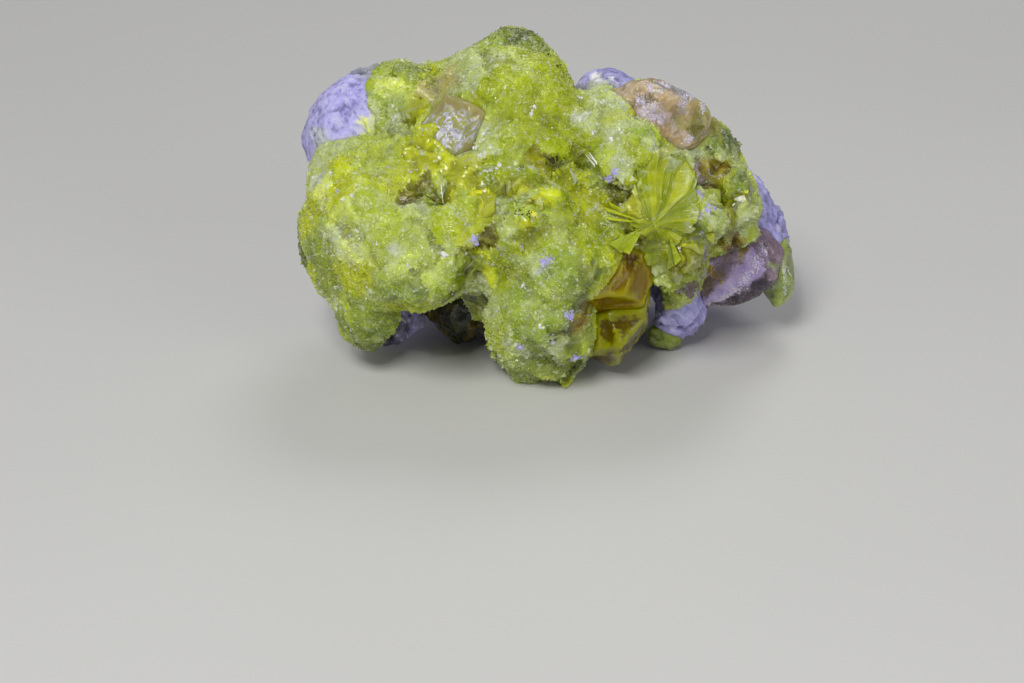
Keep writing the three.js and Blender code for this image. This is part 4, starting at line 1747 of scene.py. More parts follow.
MASS = Pattern(
    ground=(Habit.SUGAR, Habit.LEMON, Habit.LEAF, Habit.FROST),
    spots=(
        Spot(Habit.LEMON, (-15.4, -7.5, 15.9), 2.2),
        Spot(Habit.CREAM, (-14.7, -8.9, 13.7), 1.5),
        Spot(Habit.CREAM, (-15.9, -6.9, 14.9), 1.2),
        Spot(Habit.CREAM, (-13.7, -9.7, 11.4), 1.2),
        Spot(Habit.CREAM, (-12.0, -0.4, 20.5), 1.2),
        Spot(Habit.FROST, (-16.7, -3.1, 16.5), 1.8),
        Spot(Habit.SUGAR, (-12.9, -5.6, 16.7), 2.2),
        Spot(Habit.VEIL, (-16.2, -5.6, 15.6), 0.8),
        Spot(Habit.VEIL, (-14.0, -9.4, 12.2), 0.7),
        Spot(Habit.VEIL, (-15.0, -8.6, 12.6), 0.7),
        Spot(Habit.VEIL, (-10.9, -11.4, 12.4), 0.7),
        Spot(Habit.LEMON, (-11.8, -7.4, 15.9), 1.6),
        Spot(Habit.SUGAR, (-12.7, -9.3, 15.1), 2.4),
        Spot(Habit.LEMON, (-17.8, -4.6, 12.0), 1.8),
        # A dark green spot on the left edge: painted shade.
        Spot(Habit.MOSS, (-18.4, -2.7, 9.2), 1.8),
        Spot(Habit.FROST, (-14.3, -9.2, 12.0), 2.2, -0.3),
        Spot(Habit.SUGAR, (-14.6, -9.0, 13.8), 1.4, -0.4),
        Spot(Habit.SUGAR, (-11.7, -11.0, 13.1), 1.8),
        Spot(Habit.LEMON, (-14.2, -9.6, 9.4), 2.0),
        Spot(Habit.FERN, (-16.9, -7.1, 8.6), 1.8),
        Spot(Habit.MINT, (-10.3, -11.6, 11.9), 2.8),
        Spot(Habit.MINT, (-8.9, -11.9, 11.4), 2.0),
        Spot(Habit.LEAF, (-11.4, -11.8, 9.2), 1.8),
        Spot(Habit.FERN, (-9.8, -12.5, 9.6), 1.2),
        Spot(Habit.MINT, (-10.3, -11.5, 10.6), 1.3, -0.3),
        Spot(Habit.LEAF, (-13.2, -8.7, 6.2), 2.2),
        Spot(Habit.FERN, (-13.2, -8.0, 3.9), 2.0),
        Spot(Habit.FERN, (-15.0, -7.6, 4.6), 1.2),
        Spot(Habit.MOSS, (-13.5, -7.6, 2.2), 1.1),
        Spot(Habit.LEAF, (-12.6, -1.0, 20.0), 1.8),
        Spot(Habit.FROST, (-13.2, -1.6, 19.4), 1.0),
        Spot(Habit.FERN, (-10.1, 1.2, 21.4), 1.4),
        Spot(Habit.SUGAR, (-8.0, -0.1, 20.8), 1.0, 0.3),
        Spot(Habit.GOLD, (-10.0, -1.9, 18.6), 1.1, 0.3),
        Spot(Habit.FROST, (-11.1, -2.2, 18.2), 1.1),
        Spot(Habit.BROWN, (-10.5, -8.7, 15.6), 1.0, 0.5),
        Spot(Habit.BROWN, (-9.2, -7.9, 15.8), 0.6, 0.5),
        Spot(Habit.HONEY, (-7.5, -9.0, 15.4), 0.9, 0.3),
        Spot(Habit.GOLD, (-8.8, -6.7, 17.2), 1.5),
        Spot(Habit.GOLD, (-5.9, -7.9, 17.0), 1.3),
        Spot(Habit.WHEAT, (-8.0, -0.6, 20.6), 0.9),
        Spot(Habit.WHEAT, (-7.1, -1.4, 21.4), 0.9),
        Spot(Habit.WHEAT, (-8.7, -1.0, 20.0), 0.7),
        Spot(Habit.GOLD, (-4.9, -3.0, 19.8), 0.8),
        Spot(Habit.PEAR, (-5.0, -4.2, 21.1), 0.9),
        Spot(Habit.FROST, (-4.3, -6.5, 17.8), 0.9),
        Spot(Habit.FROST, (-5.8, -2.3, 22.4), 2.4),
        Spot(Habit.LEAF, (-4.6, 0.8, 23.2), 1.8),
        Spot(Habit.MOSS, (-2.2, 1.3, 24.0), 1.2),
        Spot(Habit.FERN, (-1.2, 0.6, 23.5), 1.1),
        Spot(Habit.LIME, (-0.3, -1.5, 22.8), 2.0),
        Spot(Habit.LIME, (0.7, -3.0, 20.3), 2.6),
        Spot(Habit.LIME, (-2.2, -4.6, 20.9), 2.8),
        Spot(Habit.LIME, (-2.2, -5.8, 19.1), 2.6),
        Spot(Habit.LIME, (-3.6, -6.8, 17.5), 1.6),
        Spot(Habit.LIME, (0.7, -4.5, 18.6), 2.0),
        Spot(Habit.HONEY, (-0.5, -6.4, 17.0), 1.0, 0.4),
        Spot(Habit.BROWN, (0.7, -6.0, 17.1), 0.7, 0.6),
        Spot(Habit.LIME, (2.2, -4.4, 16.9), 0.9, 0.2),
        Spot(Habit.LEMON, (1.8, -5.3, 15.4), 0.9, -0.2),
        Spot(Habit.LEMON, (0.0, -7.2, 15.8), 0.8),
        Spot(Habit.PEAR, (-3.6, -8.7, 16.5), 1.3),
        Spot(Habit.GOLD, (-2.4, -9.8, 16.2), 0.9),
        Spot(Habit.GOLD, (-5.0, -9.7, 15.7), 1.4),
        Spot(Habit.MOSS, (-3.0, -9.6, 15.5), 0.45, 0.2),
        Spot(Habit.GOLD, (-1.6, -11.4, 14.6), 1.0),
        Spot(Habit.PEAR, (-1.5, -8.3, 15.9), 1.4),
        # Lighter yellow where a block shades the stone: painted light.
        Spot(Habit.PAINTED_LIGHT_YELLOW, (-0.9, -10.1, 15.4), 0.8),
        Spot(Habit.LIME, (-6.3, -10.3, 14.9), 1.2),
        Spot(Habit.LIME, (-7.1, -10.7, 14.1), 1.4),
        Spot(Habit.BROWN, (-4.4, -10.5, 12.8), 1.0, 0.4),
        Spot(Habit.LILAC, (-5.4, -10.8, 12.7), 0.35),
        # Lighter yellow on the slope under the overhang, which lies in shade: painted light.
        Spot(Habit.PAINTED_LIGHT_YELLOW, (-5.0, -9.2, 10.9), 1.6, -0.2),
        Spot(Habit.PAINTED_LIGHT_YELLOW, (-4.4, -9.3, 9.9), 1.2, -0.2),
        Spot(Habit.LIME, (-3.4, -9.9, 11.3), 0.9, -0.2),
        Spot(Habit.LIME, (-6.3, -9.9, 11.4), 1.4),
        Spot(Habit.LIME, (-3.2, -9.8, 9.8), 1.2),
        Spot(Habit.LIME, (-2.4, -11.3, 12.9), 1.4),
        Spot(Habit.GRASS, (-6.1, -10.4, 9.6), 1.6),
        Spot(Habit.BOTTLE, (-5.6, -8.0, 7.2), 1.6),
        Spot(Habit.BOTTLE, (-6.9, -10.9, 8.7), 1.0),
        Spot(Habit.BOTTLE, (-4.3, -8.4, 6.8), 1.2),
        Spot(Habit.PEAR, (0.7, -9.8, 15.3), 1.8),
        Spot(Habit.LEMON, (2.5, -7.3, 14.3), 2.0),
        Spot(Habit.SUGAR, (0.7, -10.8, 13.4), 1.6),
        Spot(Habit.LEAF, (0.4, -11.6, 11.2), 2.4),
        Spot(Habit.FROST, (-1.2, -11.2, 11.0), 0.9),
        Spot(Habit.LEAF, (0.0, -11.8, 9.0), 2.8),
        Spot(Habit.MINT, (-0.3, -11.8, 9.3), 1.2),
        Spot(Habit.LEAF, (0.9, -12.0, 10.0), 0.8),
        Spot(Habit.MOSS, (2.4, -11.7, 10.2), 1.2),
        Spot(Habit.GRASS, (2.8, -11.3, 10.5), 1.3),
        Spot(Habit.FERN, (1.6, -11.8, 8.6), 1.3),
        Spot(Habit.MOSS, (2.2, -11.4, 8.0), 1.0),
        Spot(Habit.LEAF, (-2.2, -11.3, 8.0), 2.2),
        Spot(Habit.LIME, (2.4, -10.6, 12.2), 1.6),
        Spot(Habit.PEAR, (3.7, -8.9, 12.9), 1.6),
        Spot(Habit.LILAC, (-0.4, -11.4, 11.4), 0.45),
        Spot(Habit.LILAC, (-1.6, -10.9, 12.2), 0.25),
        Spot(Habit.MOSS, (1.1, -11.7, 7.3), 1.1),
        Spot(Habit.LEAF, (-1.0, -12.3, 5.4), 1.5),
        Spot(Habit.FERN, (-1.8, -12.0, 6.6), 1.2),
        Spot(Habit.BOTTLE, (0.9, -11.8, 6.2), 1.0),
        Spot(Habit.FERN, (-0.9, -10.3, 2.6), 2.4),
        Spot(Habit.FERN, (-2.6, -8.8, 1.2), 1.2),
        Spot(Habit.FERN, (0.4, -8.9, 0.8), 1.4),
        Spot(Habit.MOSS, (2.0, -9.3, 0.8), 1.2, 0.4),
        Spot(Habit.FERN, (1.6, -9.8, 1.6), 2.4),
        Spot(Habit.FROST, (-2.4, -10.6, 3.8), 1.0),
        Spot(Habit.GRASS, (1.6, -10.9, 4.2), 1.4),
        Spot(Habit.LILAC, (1.8, -10.4, 3.1), 0.5),
        Spot(Habit.FROST, (4.0, -2.3, 20.4), 2.2),
        Spot(Habit.FROST, (3.8, 0.8, 20.2), 1.2),
        Spot(Habit.FROST, (2.9, -4.0, 19.2), 1.4),
        Spot(Habit.LIME, (2.9, -4.4, 17.8), 1.0),
        Spot(Habit.FROST, (5.4, -4.5, 18.4), 1.5),
        Spot(Habit.FROST, (5.0, -7.1, 16.9), 1.0),
        Spot(Habit.CARAMEL, (6.2, -3.6, 18.9), 0.6),
        Spot(Habit.HONEY, (5.5, -3.3, 19.5), 0.6),
        Spot(Habit.FROST, (7.6, -6.3, 18.1), 0.7),
        Spot(Habit.VEIL, (2.6, -3.6, 19.6), 0.9),
        Spot(Habit.VEIL, (4.4, -3.2, 20.0), 0.6),
        Spot(Habit.VEIL, (7.4, -5.6, 18.2), 0.5),
        Spot(Habit.LIME, (6.4, -6.5, 17.4), 1.4),
        Spot(Habit.SUGAR, (8.4, -4.3, 15.4), 1.8),
        Spot(Habit.FROST, (10.2, -3.3, 15.5), 1.0),
        Spot(Habit.FROST, (11.0, -1.9, 15.8), 0.7),
        Spot(Habit.ROSE, (10.9, -3.0, 14.4), 0.8),
        Spot(Habit.BROWN, (4.7, -7.4, 14.8), 1.2, 0.7),
        Spot(Habit.BROWN, (5.9, -8.0, 14.8), 0.8, 0.4),
        Spot(Habit.HONEY, (3.8, -7.8, 13.8), 1.2),
        Spot(Habit.HONEY, (5.7, -9.0, 13.8), 1.2),
        Spot(Habit.LIME, (7.8, -7.8, 15.3), 2.2),
        Spot(Habit.LIME, (9.8, -7.8, 14.6), 1.8),
        Spot(Habit.GRASS, (12.1, -8.0, 13.4), 1.1),
        Spot(Habit.OLIVE, (11.8, -7.0, 14.3), 0.9, 0.3),
        Spot(Habit.LILAC, (10.9, -7.3, 14.9), 0.35),
        Spot(Habit.LILAC, (10.6, -8.5, 13.4), 0.35),
        Spot(Habit.GRASS, (10.6, -8.7, 12.6), 1.6),
        Spot(Habit.PEAR, (8.2, -8.0, 10.9), 1.6),
        Spot(Habit.LIME, (9.8, -8.4, 11.5), 1.1),
        Spot(Habit.LEMON, (9.4, -8.2, 10.8), 0.6),
        Spot(Habit.OLIVE, (6.2, -8.4, 12.0), 1.2),
        Spot(Habit.REED, (12.2, 0.6, 17.0), 1.4),
        Spot(Habit.MOSS, (13.6, 0.9, 15.7), 1.6),
        Spot(Habit.FERN, (12.2, -0.6, 16.3), 0.8),
        Spot(Habit.FERN, (14.2, -2.8, 13.8), 1.4),
        Spot(Habit.FROST, (13.8, -0.3, 14.2), 1.4),
        Spot(Habit.RUST, (12.1, -2.8, 14.8), 1.2, 0.4),
        Spot(Habit.UMBER, (11.6, -3.3, 13.6), 0.8, 0.3),
        Spot(Habit.PEAR, (12.8, -4.1, 13.6), 1.6),
        Spot(Habit.SAGE, (13.5, -0.4, 14.7), 0.8, -0.4),
        Spot(Habit.SAGE, (13.9, -2.7, 14.3), 0.8, -0.4),
        Spot(Habit.FROST, (14.2, -4.1, 13.2), 0.7),
        Spot(Habit.ASH, (15.0, -1.1, 13.0), 0.8),
        Spot(Habit.OLIVE, (13.5, -4.7, 12.1), 1.6),
        Spot(Habit.FROST, (15.2, -4.2, 11.9), 1.2),
        Spot(Habit.ROSE, (15.8, -2.5, 13.0), 1.2),
        Spot(Habit.FROST, (14.0, -4.4, 11.0), 1.0),
        Spot(Habit.OLIVE, (9.4, -8.5, 9.8), 1.6),
        Spot(Habit.OLIVE, (10.9, -7.0, 8.8), 1.4),
        Spot(Habit.UMBER, (10.8, -8.6, 12.1), 0.8),
        Spot(Habit.MAUVE, (10.9, -8.2, 11.4), 0.4),
        Spot(Habit.MAUVE, (11.5, -5.6, 9.8), 0.5),
        Spot(Habit.MAUVE, (11.1, -4.8, 6.9), 0.5),
        Spot(Habit.ROSE, (10.6, -5.1, 6.4), 0.55),
        Spot(Habit.RUST, (13.1, -3.2, 10.0), 0.9),
        Spot(Habit.UMBER, (13.7, -2.7, 9.0), 0.6),
        Spot(Habit.RUST, (2.1, -11.1, 6.5), 1.4),
        Spot(Habit.BROWN, (2.9, -10.2, 7.6), 0.8),
    ),
)
CHALK = Pattern(
    ground=(Habit.LILAC, Habit.CHALK, Habit.LILAC, Habit.ASH),
    patch=6.0,
    seed=71,
    spots=(
        Spot(Habit.LILAC, (-16.0, -1.5, 18.5), 4.0),
        Spot(Habit.VEIL, (-16.9, -1.9, 17.0), 0.9),
        Spot(Habit.CREAM, (-12.7, -2.0, 17.6), 1.4),
        Spot(Habit.GLINT, (3.8, 2.4, 20.5), 0.9),
        Spot(Habit.FROST, (3.7, 1.0, 20.0), 1.0),
        Spot(Habit.DUN, (-10.9, -4.3, 2.7), 4.0),
        Spot(Habit.DUN, (4.0, 9.0, 4.0), 2.5),
        Spot(Habit.CHALK, (10.5, -3.8, 3.4), 3.0),
        Spot(Habit.CHALK, (16.6, 0.8, 10.2), 3.0),
    ),
)
ROSE = Pattern(
    ground=(Habit.ROSE,),
    patch=2.6,
    seed=81,
    flake=0.5,
    spots=(
        Spot(Habit.MAUVE, (12.2, -2.6, 4.1), 0.5),
        Spot(Habit.MAUVE, (13.1, -3.1, 4.8), 0.5),
        Spot(Habit.MAUVE, (13.8, -3.2, 5.4), 0.6),
        Spot(Habit.MAUVE, (14.6, -2.8, 6.5), 0.6),
        Spot(Habit.MAUVE, (15.4, -2.2, 7.1), 0.6),
        Spot(Habit.MAUVE, (16.3, -1.3, 8.0), 0.5),
        # Dark plum below the pink grain's lilac band: painted shade.
        Spot(Habit.PLUM_SHADE, (14.6, -3.0, 4.1), 1.0),
        Spot(Habit.PLUM_SHADE, (15.6, -2.3, 5.0), 0.9),
        Spot(Habit.UMBER, (11.6, -2.8, 5.4), 0.6),
        Spot(Habit.SAGE, (16.7, -1.6, 6.2), 0.4),
        Spot(Habit.RUST, (12.3, -3.2, 6.4), 0.4),
        Spot(Habit.CARAMEL, (12.9, -3.3, 6.5), 0.35),
        Spot(Habit.CARAMEL, (14.5, -2.4, 7.8), 0.4),
        Spot(Habit.RUST, (13.8, -2.5, 8.7), 0.5),
        Spot(Habit.MAUVE, (12.0, -2.8, 7.5), 0.25),
        Spot(Habit.MAUVE, (11.6, -3.0, 6.6), 0.25),
    ),
)
ORANGE = Pattern(
    ground=(Habit.PEACH,),
    patch=2.6,
    seed=82,
    flake=0.6,
    spots=(
        Spot(Habit.BLUSH, (6.8, -2.4, 20.4), 0.6),
        Spot(Habit.BLOOM, (7.3, -2.9, 19.3), 0.7),
        Spot(Habit.BLOOM, (8.0, -2.9, 18.7), 0.5),
        Spot(Habit.RUST, (8.9, -2.8, 19.6), 0.3),
        Spot(Habit.PEACH, (8.0, -2.6, 20.2), 0.8),
        Spot(Habit.ASH, (7.6, -1.8, 20.9), 0.5),
        Spot(Habit.ASH, (9.6, -1.7, 20.1), 0.7),
        Spot(Habit.REED, (9.6, -2.6, 18.6), 0.7),
        Spot(Habit.REED, (11.2, -1.5, 19.0), 0.8),
        Spot(Habit.OLIVE, (10.9, -2.3, 17.7), 0.7),
    ),
)
GREEN = Pattern(ground=(Habit.SAGE, Habit.FERN, Habit.SAGE), patch=1.6, seed=83)
FOOT = Pattern(ground=(Habit.FERN, Habit.MOSS), patch=1.6, seed=85)
DARK = Pattern(ground=(Habit.PITCH, Habit.PITCH, Habit.BROWN), patch=2.0, seed=84)
PLAIN = Pattern(ground=(Habit.HONEY,))
PANE = Pattern(
    ground=(Habit.GLASS,),
    spots=(
        # Frost spots on the window crystal's lower left: its painted sheen and pale rim colour.
        Spot(Habit.FROST, (-7.6, -6.0, 18.7), 1.6),
        Spot(Habit.FROST, (-6.4, -6.0, 19.6), 1.2),
    ),
)
DROP = Pattern(
    ground=(Habit.HONEY,),
    spots=(
        # Frost spots here turn the seam and edges to the rim colour: a painted rim glow.
        Spot(Habit.FROST, (4.0, -8.6, 5.8), 0.5),
        Spot(Habit.FROST, (3.7, -8.8, 3.1), 0.6),
        Spot(Habit.FROST, (3.4, -8.9, 4.4), 0.4),
    ),
)

AMBER = ClearFinish(
    name="amber crystal",
    colour=(244, 214, 10),
    density=0.16,
    body=(158, 128, 0),
    deep=(122, 84, 0),
    rim=(196, 190, 6),
    clear=0.3,
    veil=0.06,
    glow_depth=0.8,
)
DEEP_AMBER = replace(
    AMBER,
    name="deep amber crystal",
    colour=(240, 216, 10),
    body=(124, 104, 0),
    deep=(88, 62, 0),
    rim=(190, 198, 6),
    veil=0.04,
)
# The window crystal's pale veil and white streaks are painted sheen.
WINDOW = ClearFinish(
    name="window crystal",
    colour=(240, 230, 150),
    density=0.1,
    body=(198, 184, 124),
    deep=(158, 140, 106),
    rim=(206, 212, 130),
    clear=0.3,
    veil=0.6,
    streak=3.5,
    veil_colour=(240, 236, 246),
)
ORANGE_SUGAR = SugarFinish(
    "orange", glow=0.8, lit=(214, 190, 142), sugar=(222, 214, 224), dim=(0.8, 0.68, 0.45)
)
PINK_SUGAR = SugarFinish(
    "pink", glow=0.8, lit=(176, 152, 172), sugar=(208, 196, 232), dim=(0.7, 0.6, 0.66)
)
CAVE_SUGAR = SugarFinish("brown", lit=(60, 50, 12), sugar=(50, 46, 24), dim=(0.5, 0.45, 0.3))
GLASS = SugarFinish("glassy blocks", depth=(0.8, 0.8, 0.2), grain=0.3, tilt=0.04)
BLADES = SugarFinish("fan blades", depth=(0.4, 0.4, 0.1), grain=0.3, tilt=0.04)
FAN = Fan(
    name="fan_blades",
    slot="jouravskite",
    root=(7.3, -8.8, 13.2),
    reaches=(
        (0, 3.2),
        (30, 3.8),
        (60, 4.4),
        (90, 4.5),
        (108, 3.6),
        (122, 2.0),
        (140, 1.2),
        (160, 1.6),
        (180, 2.4),
        (200, 1.8),
        (225, 2.0),
        (250, 1.8),
        (290, 2.4),
        (330, 2.7),
    ),
    blades=34,
    finish=BLADES,
    seed=97,
)
LATHS = tuple(
    Spray(root, (arm,), habits, Form.BLADE, seed)
    for seed, root, arm, habits in (
        (98, (6.9, -9.4, 13.6), Arm(108, 117, 2.6, 2, 0.24, 0.25), (Habit.LIME, Habit.LEMON)),
        (99, (6.7, -9.3, 13.3), Arm(158, 176, 3.3, 3, 0.13, 0.30), (Habit.LEMON, Habit.VEIL)),
        (100, (6.2, -9.2, 12.6), Arm(214, 226, 2.3, 2, 0.42, 0.20), (Habit.SUGAR, Habit.LIME)),
        (108, (8.4, -8.8, 11.6), Arm(270, 292, 1.9, 3, 0.28, 0.20), (Habit.LIME, Habit.GRASS)),
    )
)
HOLLOW_NEEDLES = tuple(
    Spray(root, arms, (Habit.OLIVE, Habit.GRASS, Habit.LIME), Form.BLADE, seed)
    for seed, root, arms in (
        (101, (0.4, -6.2, 16.5), (Arm(20, 160, 1.1, 8, 0.05, 0.3), Arm(200, 340, 0.8, 5, 0.05, 0.3))),
        (102, (1.7, -5.2, 16.4), (Arm(30, 150, 1.3, 8, 0.05, 0.3),)),
        (103, (-9.0, -8.4, 15.0), (Arm(60, 180, 1.1, 7, 0.05, 0.3), Arm(-40, 40, 1.2, 5, 0.05, 0.3))),
        (104, (-7.7, -9.2, 14.8), (Arm(80, 170, 1.3, 6, 0.05, 0.3),)),
        (105, (4.9, -7.2, 14.2), (Arm(20, 170, 0.9, 8, 0.05, 0.3),)),
    )
)
WHITE_SLIVERS = (
    Spray((1.5, -6.4, 16.2), (Arm(-72, -66, 1.5, 2, 0.07, 0.3),), (Habit.GLINT,), Form.BLADE, 106),
    Spray((2.7, -7.0, 17.7), (Arm(-52, -40, 1.1, 3, 0.08, 0.3),), (Habit.GLINT,), Form.BLADE, 107),
)


def seam(*stops: Triple) -> tuple[tuple[Triple, float], ...]:
    """Lay small patches close together along a broken line.

    Args:
        stops: The line's corners, in millimetres.

    Returns:
        The middle of each patch and how far it goes, in millimetres.
    """
    patches = []
    for start, end in zip(stops, stops[1:]):
        start, end = np.array(start), np.array(end)
        for share in np.arange(0, 1, 0.25 / np.linalg.norm(end - start)):
            patches.append((tuple(start + (end - start) * share), 0.16))
    return tuple(patches)


SEAMS = (
    *seam((-9.5, -5.4, 18.9), (-9.2, -6.4, 17.6), (-9.0, -7.5, 16.4), (-8.6, -8.1, 15.6)),
    *seam((-8.6, -8.3, 15.4), (-7.3, -9.7, 14.9), (-6.0, -10.5, 13.9), (-5.0, -10.7, 12.7)),
    *seam((-5.4, -8.3, 16.9), (-3.2, -7.9, 17.0), (-0.8, -7.2, 16.5)),
    *seam((-4.4, -9.9, 15.4), (-2.7, -9.9, 15.3)),
    *seam((1.7, -9.9, 14.2), (2.8, -8.7, 13.9), (3.5, -7.4, 14.2)),
    *seam((1.7, -10.7, 12.7), (1.4, -11.3, 11.9)),
    *seam((4.9, -2.7, 20.2), (5.4, -3.5, 19.5), (6.3, -4.1, 18.8), (7.4, -5.4, 18.4), (7.7, -6.3, 18.0)),
    *seam((9.1, -3.4, 16.5), (11.0, -2.2, 15.7), (12.2, -0.9, 16.3)),
    *seam((-16.4, -6.0, 15.4), (-15.0, -8.2, 13.8), (-14.2, -9.2, 12.4)),
    *seam((11.0, -7.7, 14.8), (11.3, -8.4, 13.6), (10.9, -8.7, 12.1), (10.5, -8.1, 10.7)),
)
SPECKS = (
    ((-2.1, 1.1, 23.9), 0.5),
    ((-1.4, 1.3, 23.8), 0.5),
    ((-0.7, 0.7, 23.2), 0.4),
    ((-0.1, -0.6, 22.9), 0.4),
    ((0.7, -1.1, 22.3), 0.4),
    ((-3.2, -9.6, 15.4), 0.25),
    ((-2.2, -11.3, 15.0), 0.3),
    ((-1.5, -11.7, 15.0), 0.3),
    ((-3.1, -11.0, 14.7), 0.25),
    ((11.9, -5.6, 12.4), 0.3),
    ((4.6, -7.5, 14.9), 0.6),
    ((0.2, -6.3, 16.9), 0.4),
)
# Patches of bright yellow flakes: painted flashes of light.
FLASHES = (
    ((-2.4, -9.7, 16.2), 0.6),
    ((-0.9, -10.4, 15.6), 0.5),
    ((-1.2, -11.3, 14.8), 0.4),
    ((-4.4, -9.4, 16.0), 0.5),
    ((-5.4, -9.6, 15.6), 0.4),
    ((9.8, -8.6, 11.3), 0.5),
    ((8.2, -8.8, 12.4), 0.3),
    ((6.1, -7.0, 16.0), 0.6),
    ((13.4, -4.2, 13.6), 0.8),
    ((11.9, -7.3, 9.6), 0.3),
)
PINK_EDGE = (
    ((12.2, -2.6, 4.1), 0.5),
    ((12.6, -2.9, 4.4), 0.4),
    ((13.1, -3.1, 4.8), 0.5),
    ((13.8, -3.3, 5.3), 0.6),
    ((14.5, -2.8, 6.2), 0.6),
    ((15.4, -2.2, 7.1), 0.7),
    ((16.3, -1.3, 8.0), 0.5),
)
ORANGE_RIME = (
    ((6.6, -2.6, 20.1), 0.4),
    ((6.9, -2.9, 19.4), 0.6),
    ((7.5, -2.9, 19.8), 0.4),
    ((7.4, -2.9, 19.1), 0.6),
    ((8.0, -2.9, 18.8), 0.5),
    ((7.3, -2.1, 20.9), 0.4),
    ((8.4, -0.9, 20.7), 0.7),
    ((9.4, -2.2, 19.9), 0.4),
    ((10.2, -1.3, 20.0), 0.6),
    ((11.2, -1.4, 19.1), 0.5),
    ((10.2, -3.0, 17.3), 0.4),
)
END_STRIPES = (
    *seam((16.9, -1.2, 5.6), (16.9, -1.1, 4.2)),
    *seam((17.7, -0.7, 6.2), (17.7, -0.8, 5.0), (17.7, -0.6, 3.8)),
    *seam((18.2, -0.2, 5.9), (18.3, -0.3, 4.4)),
)
SHEEN = (
    ((-7.9, -5.9, 18.8), 0.5),
    ((-7.4, -6.0, 18.3), 0.5),
    ((-7.2, -6.0, 19.3), 0.6),
    ((-6.6, -5.9, 18.6), 0.4),
)
GLINTS = (
    ((2.6, -3.8, 19.4), 0.5),
    ((3.2, -4.4, 18.7), 0.4),
    ((4.6, -3.0, 20.2), 0.4),
    ((5.4, -4.6, 18.4), 0.4),
    ((4.4, -5.4, 17.6), 0.4),
    ((-10.8, -2.4, 18.4), 0.5),
    ((-10.4, -3.4, 18.2), 0.4),
    ((-15.4, -6.4, 16.0), 0.4),
    ((-13.4, -9.6, 13.0), 0.4),
    ((-1.4, -4.9, 20.4), 0.8),
    ((-4.6, -5.7, 19.0), 0.4),
    ((-4.8, -5.7, 18.4), 0.5),
    ((-5.2, -5.8, 17.8), 0.4),
    ((-4.2, -6.6, 17.8), 0.4),
    ((-12.2, -11.3, 12.6), 0.20),
    ((-8.7, -11.5, 12.3), 0.28),
    ((-7.7, -11.6, 12.0), 0.28),
    ((-16.1, -7.6, 15.4), 0.15),
    ((-14.1, -8.9, 15.4), 0.20),
    ((-3.8, -7.9, 17.2), 0.5),
    ((-4.7, -7.1, 17.6), 0.5),
    ((-4.3, -8.3, 17.0), 0.4),
    ((-2.1, -11.0, 9.2), 0.2),
    ((-2.4, -11.4, 4.4), 0.3),
    ((-0.7, -12.4, 6.7), 0.2),
    ((0.4, -12.1, 5.2), 0.2),
    ((1.9, -1.8, 19.9), 0.2),
)
CRUMBS = (
    ((-0.4, -11.8, 11.5), 0.55),
    ((-1.6, -11.5, 12.2), 0.25),
    ((-5.4, -10.9, 12.7), 0.3),
    ((4.2, -7.0, 15.9), 0.5),
    ((4.6, -7.1, 16.4), 0.3),
    ((10.8, -7.3, 14.9), 0.3),
    ((1.4, -11.7, 7.2), 0.40),
    ((1.9, -10.4, 3.4), 0.60),
    ((11.4, -8.0, 13.8), 0.35),
    ((11.5, -8.0, 12.6), 0.35),
    ((15.0, -2.4, 4.4), 0.5),
    ((16.2, -1.8, 5.4), 0.5),
    ((-2.2, -11.7, 4.0), 0.40),
)

STUDIO = Studio(
    lamps=(
        Lamp("key", (-90, -220, 290), 150, 0.71),
        Lamp("spark", (-50, -270, 250), 16, 0.11, 1.0),
        Lamp("fill", (240, -240, 140), 220, 0.2),
        Lamp("rim", (60, 240, 280), 160, 0.26),
    )
)


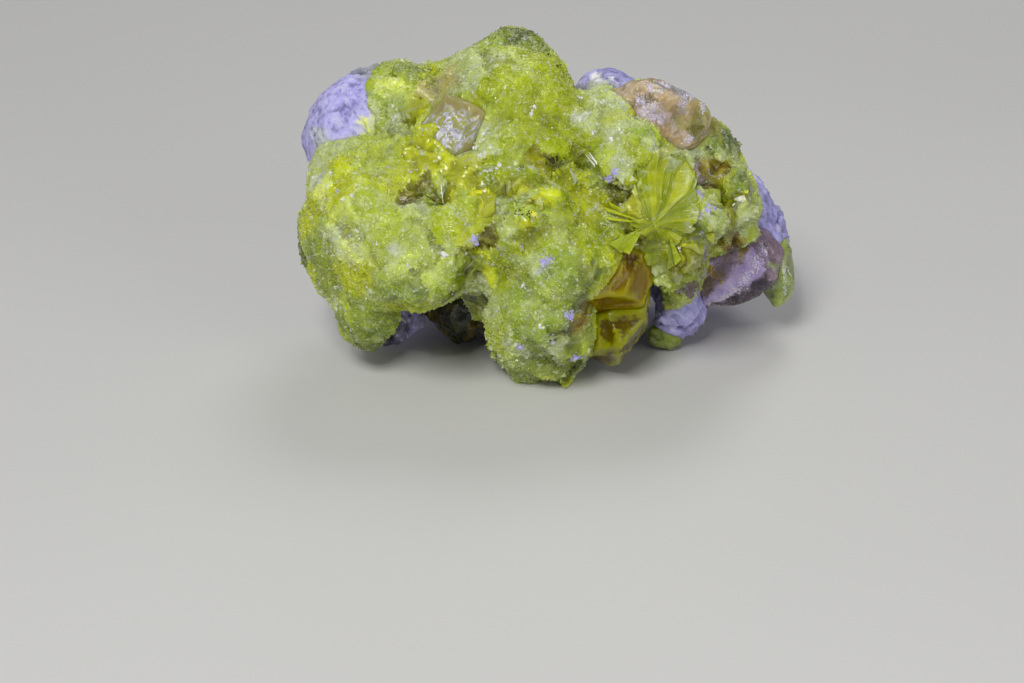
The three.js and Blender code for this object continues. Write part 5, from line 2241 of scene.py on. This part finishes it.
def main() -> None:
    """Build the specimen and its studio."""
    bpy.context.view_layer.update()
    site = Site()
    sugar = SugarFinish("jouravskite")
    mass = JouravskiteMass("jouravskite_mass", "jouravskite", MASS, sugar, step=0.2, softness=0.6)
    surface, look = mass.build(site)
    chalk = ChalkFinish("chalk")
    ChalkyMatrix("chalky_matrix", "chalk", CHALK, chalk, step=0.26, softness=0.3).build(site)
    ClearCrystal("amber_crystal_upper", "amber", PLAIN, AMBER).build(site)
    ClearCrystal("amber_crystal_lower", "amber", DROP, DEEP_AMBER).build(site)
    window, _ = ClearCrystal("window_crystal", "window", PANE, WINDOW, rim_glow=0.2).build(site)
    orange, _ = SugaryGrain("orange_grain", "orange", ORANGE, ORANGE_SUGAR).build(site)
    pink, _ = SugaryGrain("pink_grain", "pink", ROSE, PINK_SUGAR).build(site)
    SugaryGrain("cave_grain", "brown", DARK, CAVE_SUGAR).build(site)
    end, _ = SugaryGrain("end_crystal", "green", GREEN, SugarFinish("end green")).build(site)
    SugaryGrain("foot_crystal", "green", FOOT, SugarFinish("foot green")).build(site)
    sugary = smooth_step(0.5, 0.2, look.glassy)
    for name, form, count, size, seed in (
        ("sugar_chips", Form.CHIP, 45000, 0.072, 91),
        ("sugar_blocks", Form.BLOCK, 12000, 0.055, 92),
    ):
        SugarCoat(name, "jouravskite", form, count, size, seed).build(site, mass.node, surface, look, sugary)
    beds = (
        BlockBed((-3.5, -9.5, 15.6), 2.0, 10, 0.7),
        BlockBed((-1.6, -10.6, 15.2), 0.8, 4, 0.7),
        BlockBed((10.4, -8.2, 10.6), 1.6, 9, 0.7),
        BlockBed((12.8, -4.0, 12.8), 1.8, 16, 0.8),
        BlockBed((12.3, -7.6, 13.2), 1.0, 7, 0.6),
        BlockBed((9.8, -8.0, 9.4), 1.4, 8, 1.0),
    )
    GlassyBlocks("glassy_blocks", "jouravskite", beds, GLASS, 95).build(site, mass.node, surface, look)
    FAN.build(surface)
    SprayPiece("fan_laths", "jouravskite", LATHS, BLADES).build(surface)
    needles = SugarFinish("hollow needles", glow=0.0, grain=0.5, tilt=0.05, clear=0.0)
    SprayPiece("hollow_needles", "jouravskite", HOLLOW_NEEDLES, needles).build(surface)
    SprayPiece("white_slivers", "jouravskite", WHITE_SLIVERS, needles).build(surface)
    wide, slim = (0.6, 0.15), (0.4, 0.15)
    for stone, flakes in (
        (surface, Flakes("white_glints", "jouravskite", GLINTS, Habit.GLINT, 4, 0.09, 111)),
        (surface, Flakes("lilac_crumbs", "chalk", CRUMBS, Habit.LILAC, 55, 0.06, 112)),
        (surface, Flakes("pale_seams", "jouravskite", SEAMS, Habit.VEIL, 6, 0.05, 113, Form.CHIP)),
        (surface, Flakes("dark_specks", "jouravskite", SPECKS, Habit.PITCH, 26, 0.055, 114, Form.CHIP)),
        (surface, Flakes("lemon_flashes", "jouravskite", FLASHES, Habit.FLASH, 4, 0.2, 115, Form.CHIP, wide)),
        (window, Flakes("window_glints", "window", SHEEN, Habit.GLINT, 34, 0.12, 120, Form.CHIP, slim)),
        (pink, Flakes("pink_sugar", "pink", PINK_EDGE, Habit.RIME, 130, 0.045, 116, Form.CHIP)),
        (orange, Flakes("orange_sugar", "orange", ORANGE_RIME, Habit.RIME, 90, 0.05, 118, Form.CHIP)),
        (end, Flakes("end_stripes", "green", END_STRIPES, Habit.VEIL, 14, 0.045, 119, Form.CHIP)),
    ):
        flakes.build(site, stone)
    STUDIO.build()


if __name__ == "__main__":
    logging.basicConfig(level=logging.INFO, format="%(message)s")
    main()
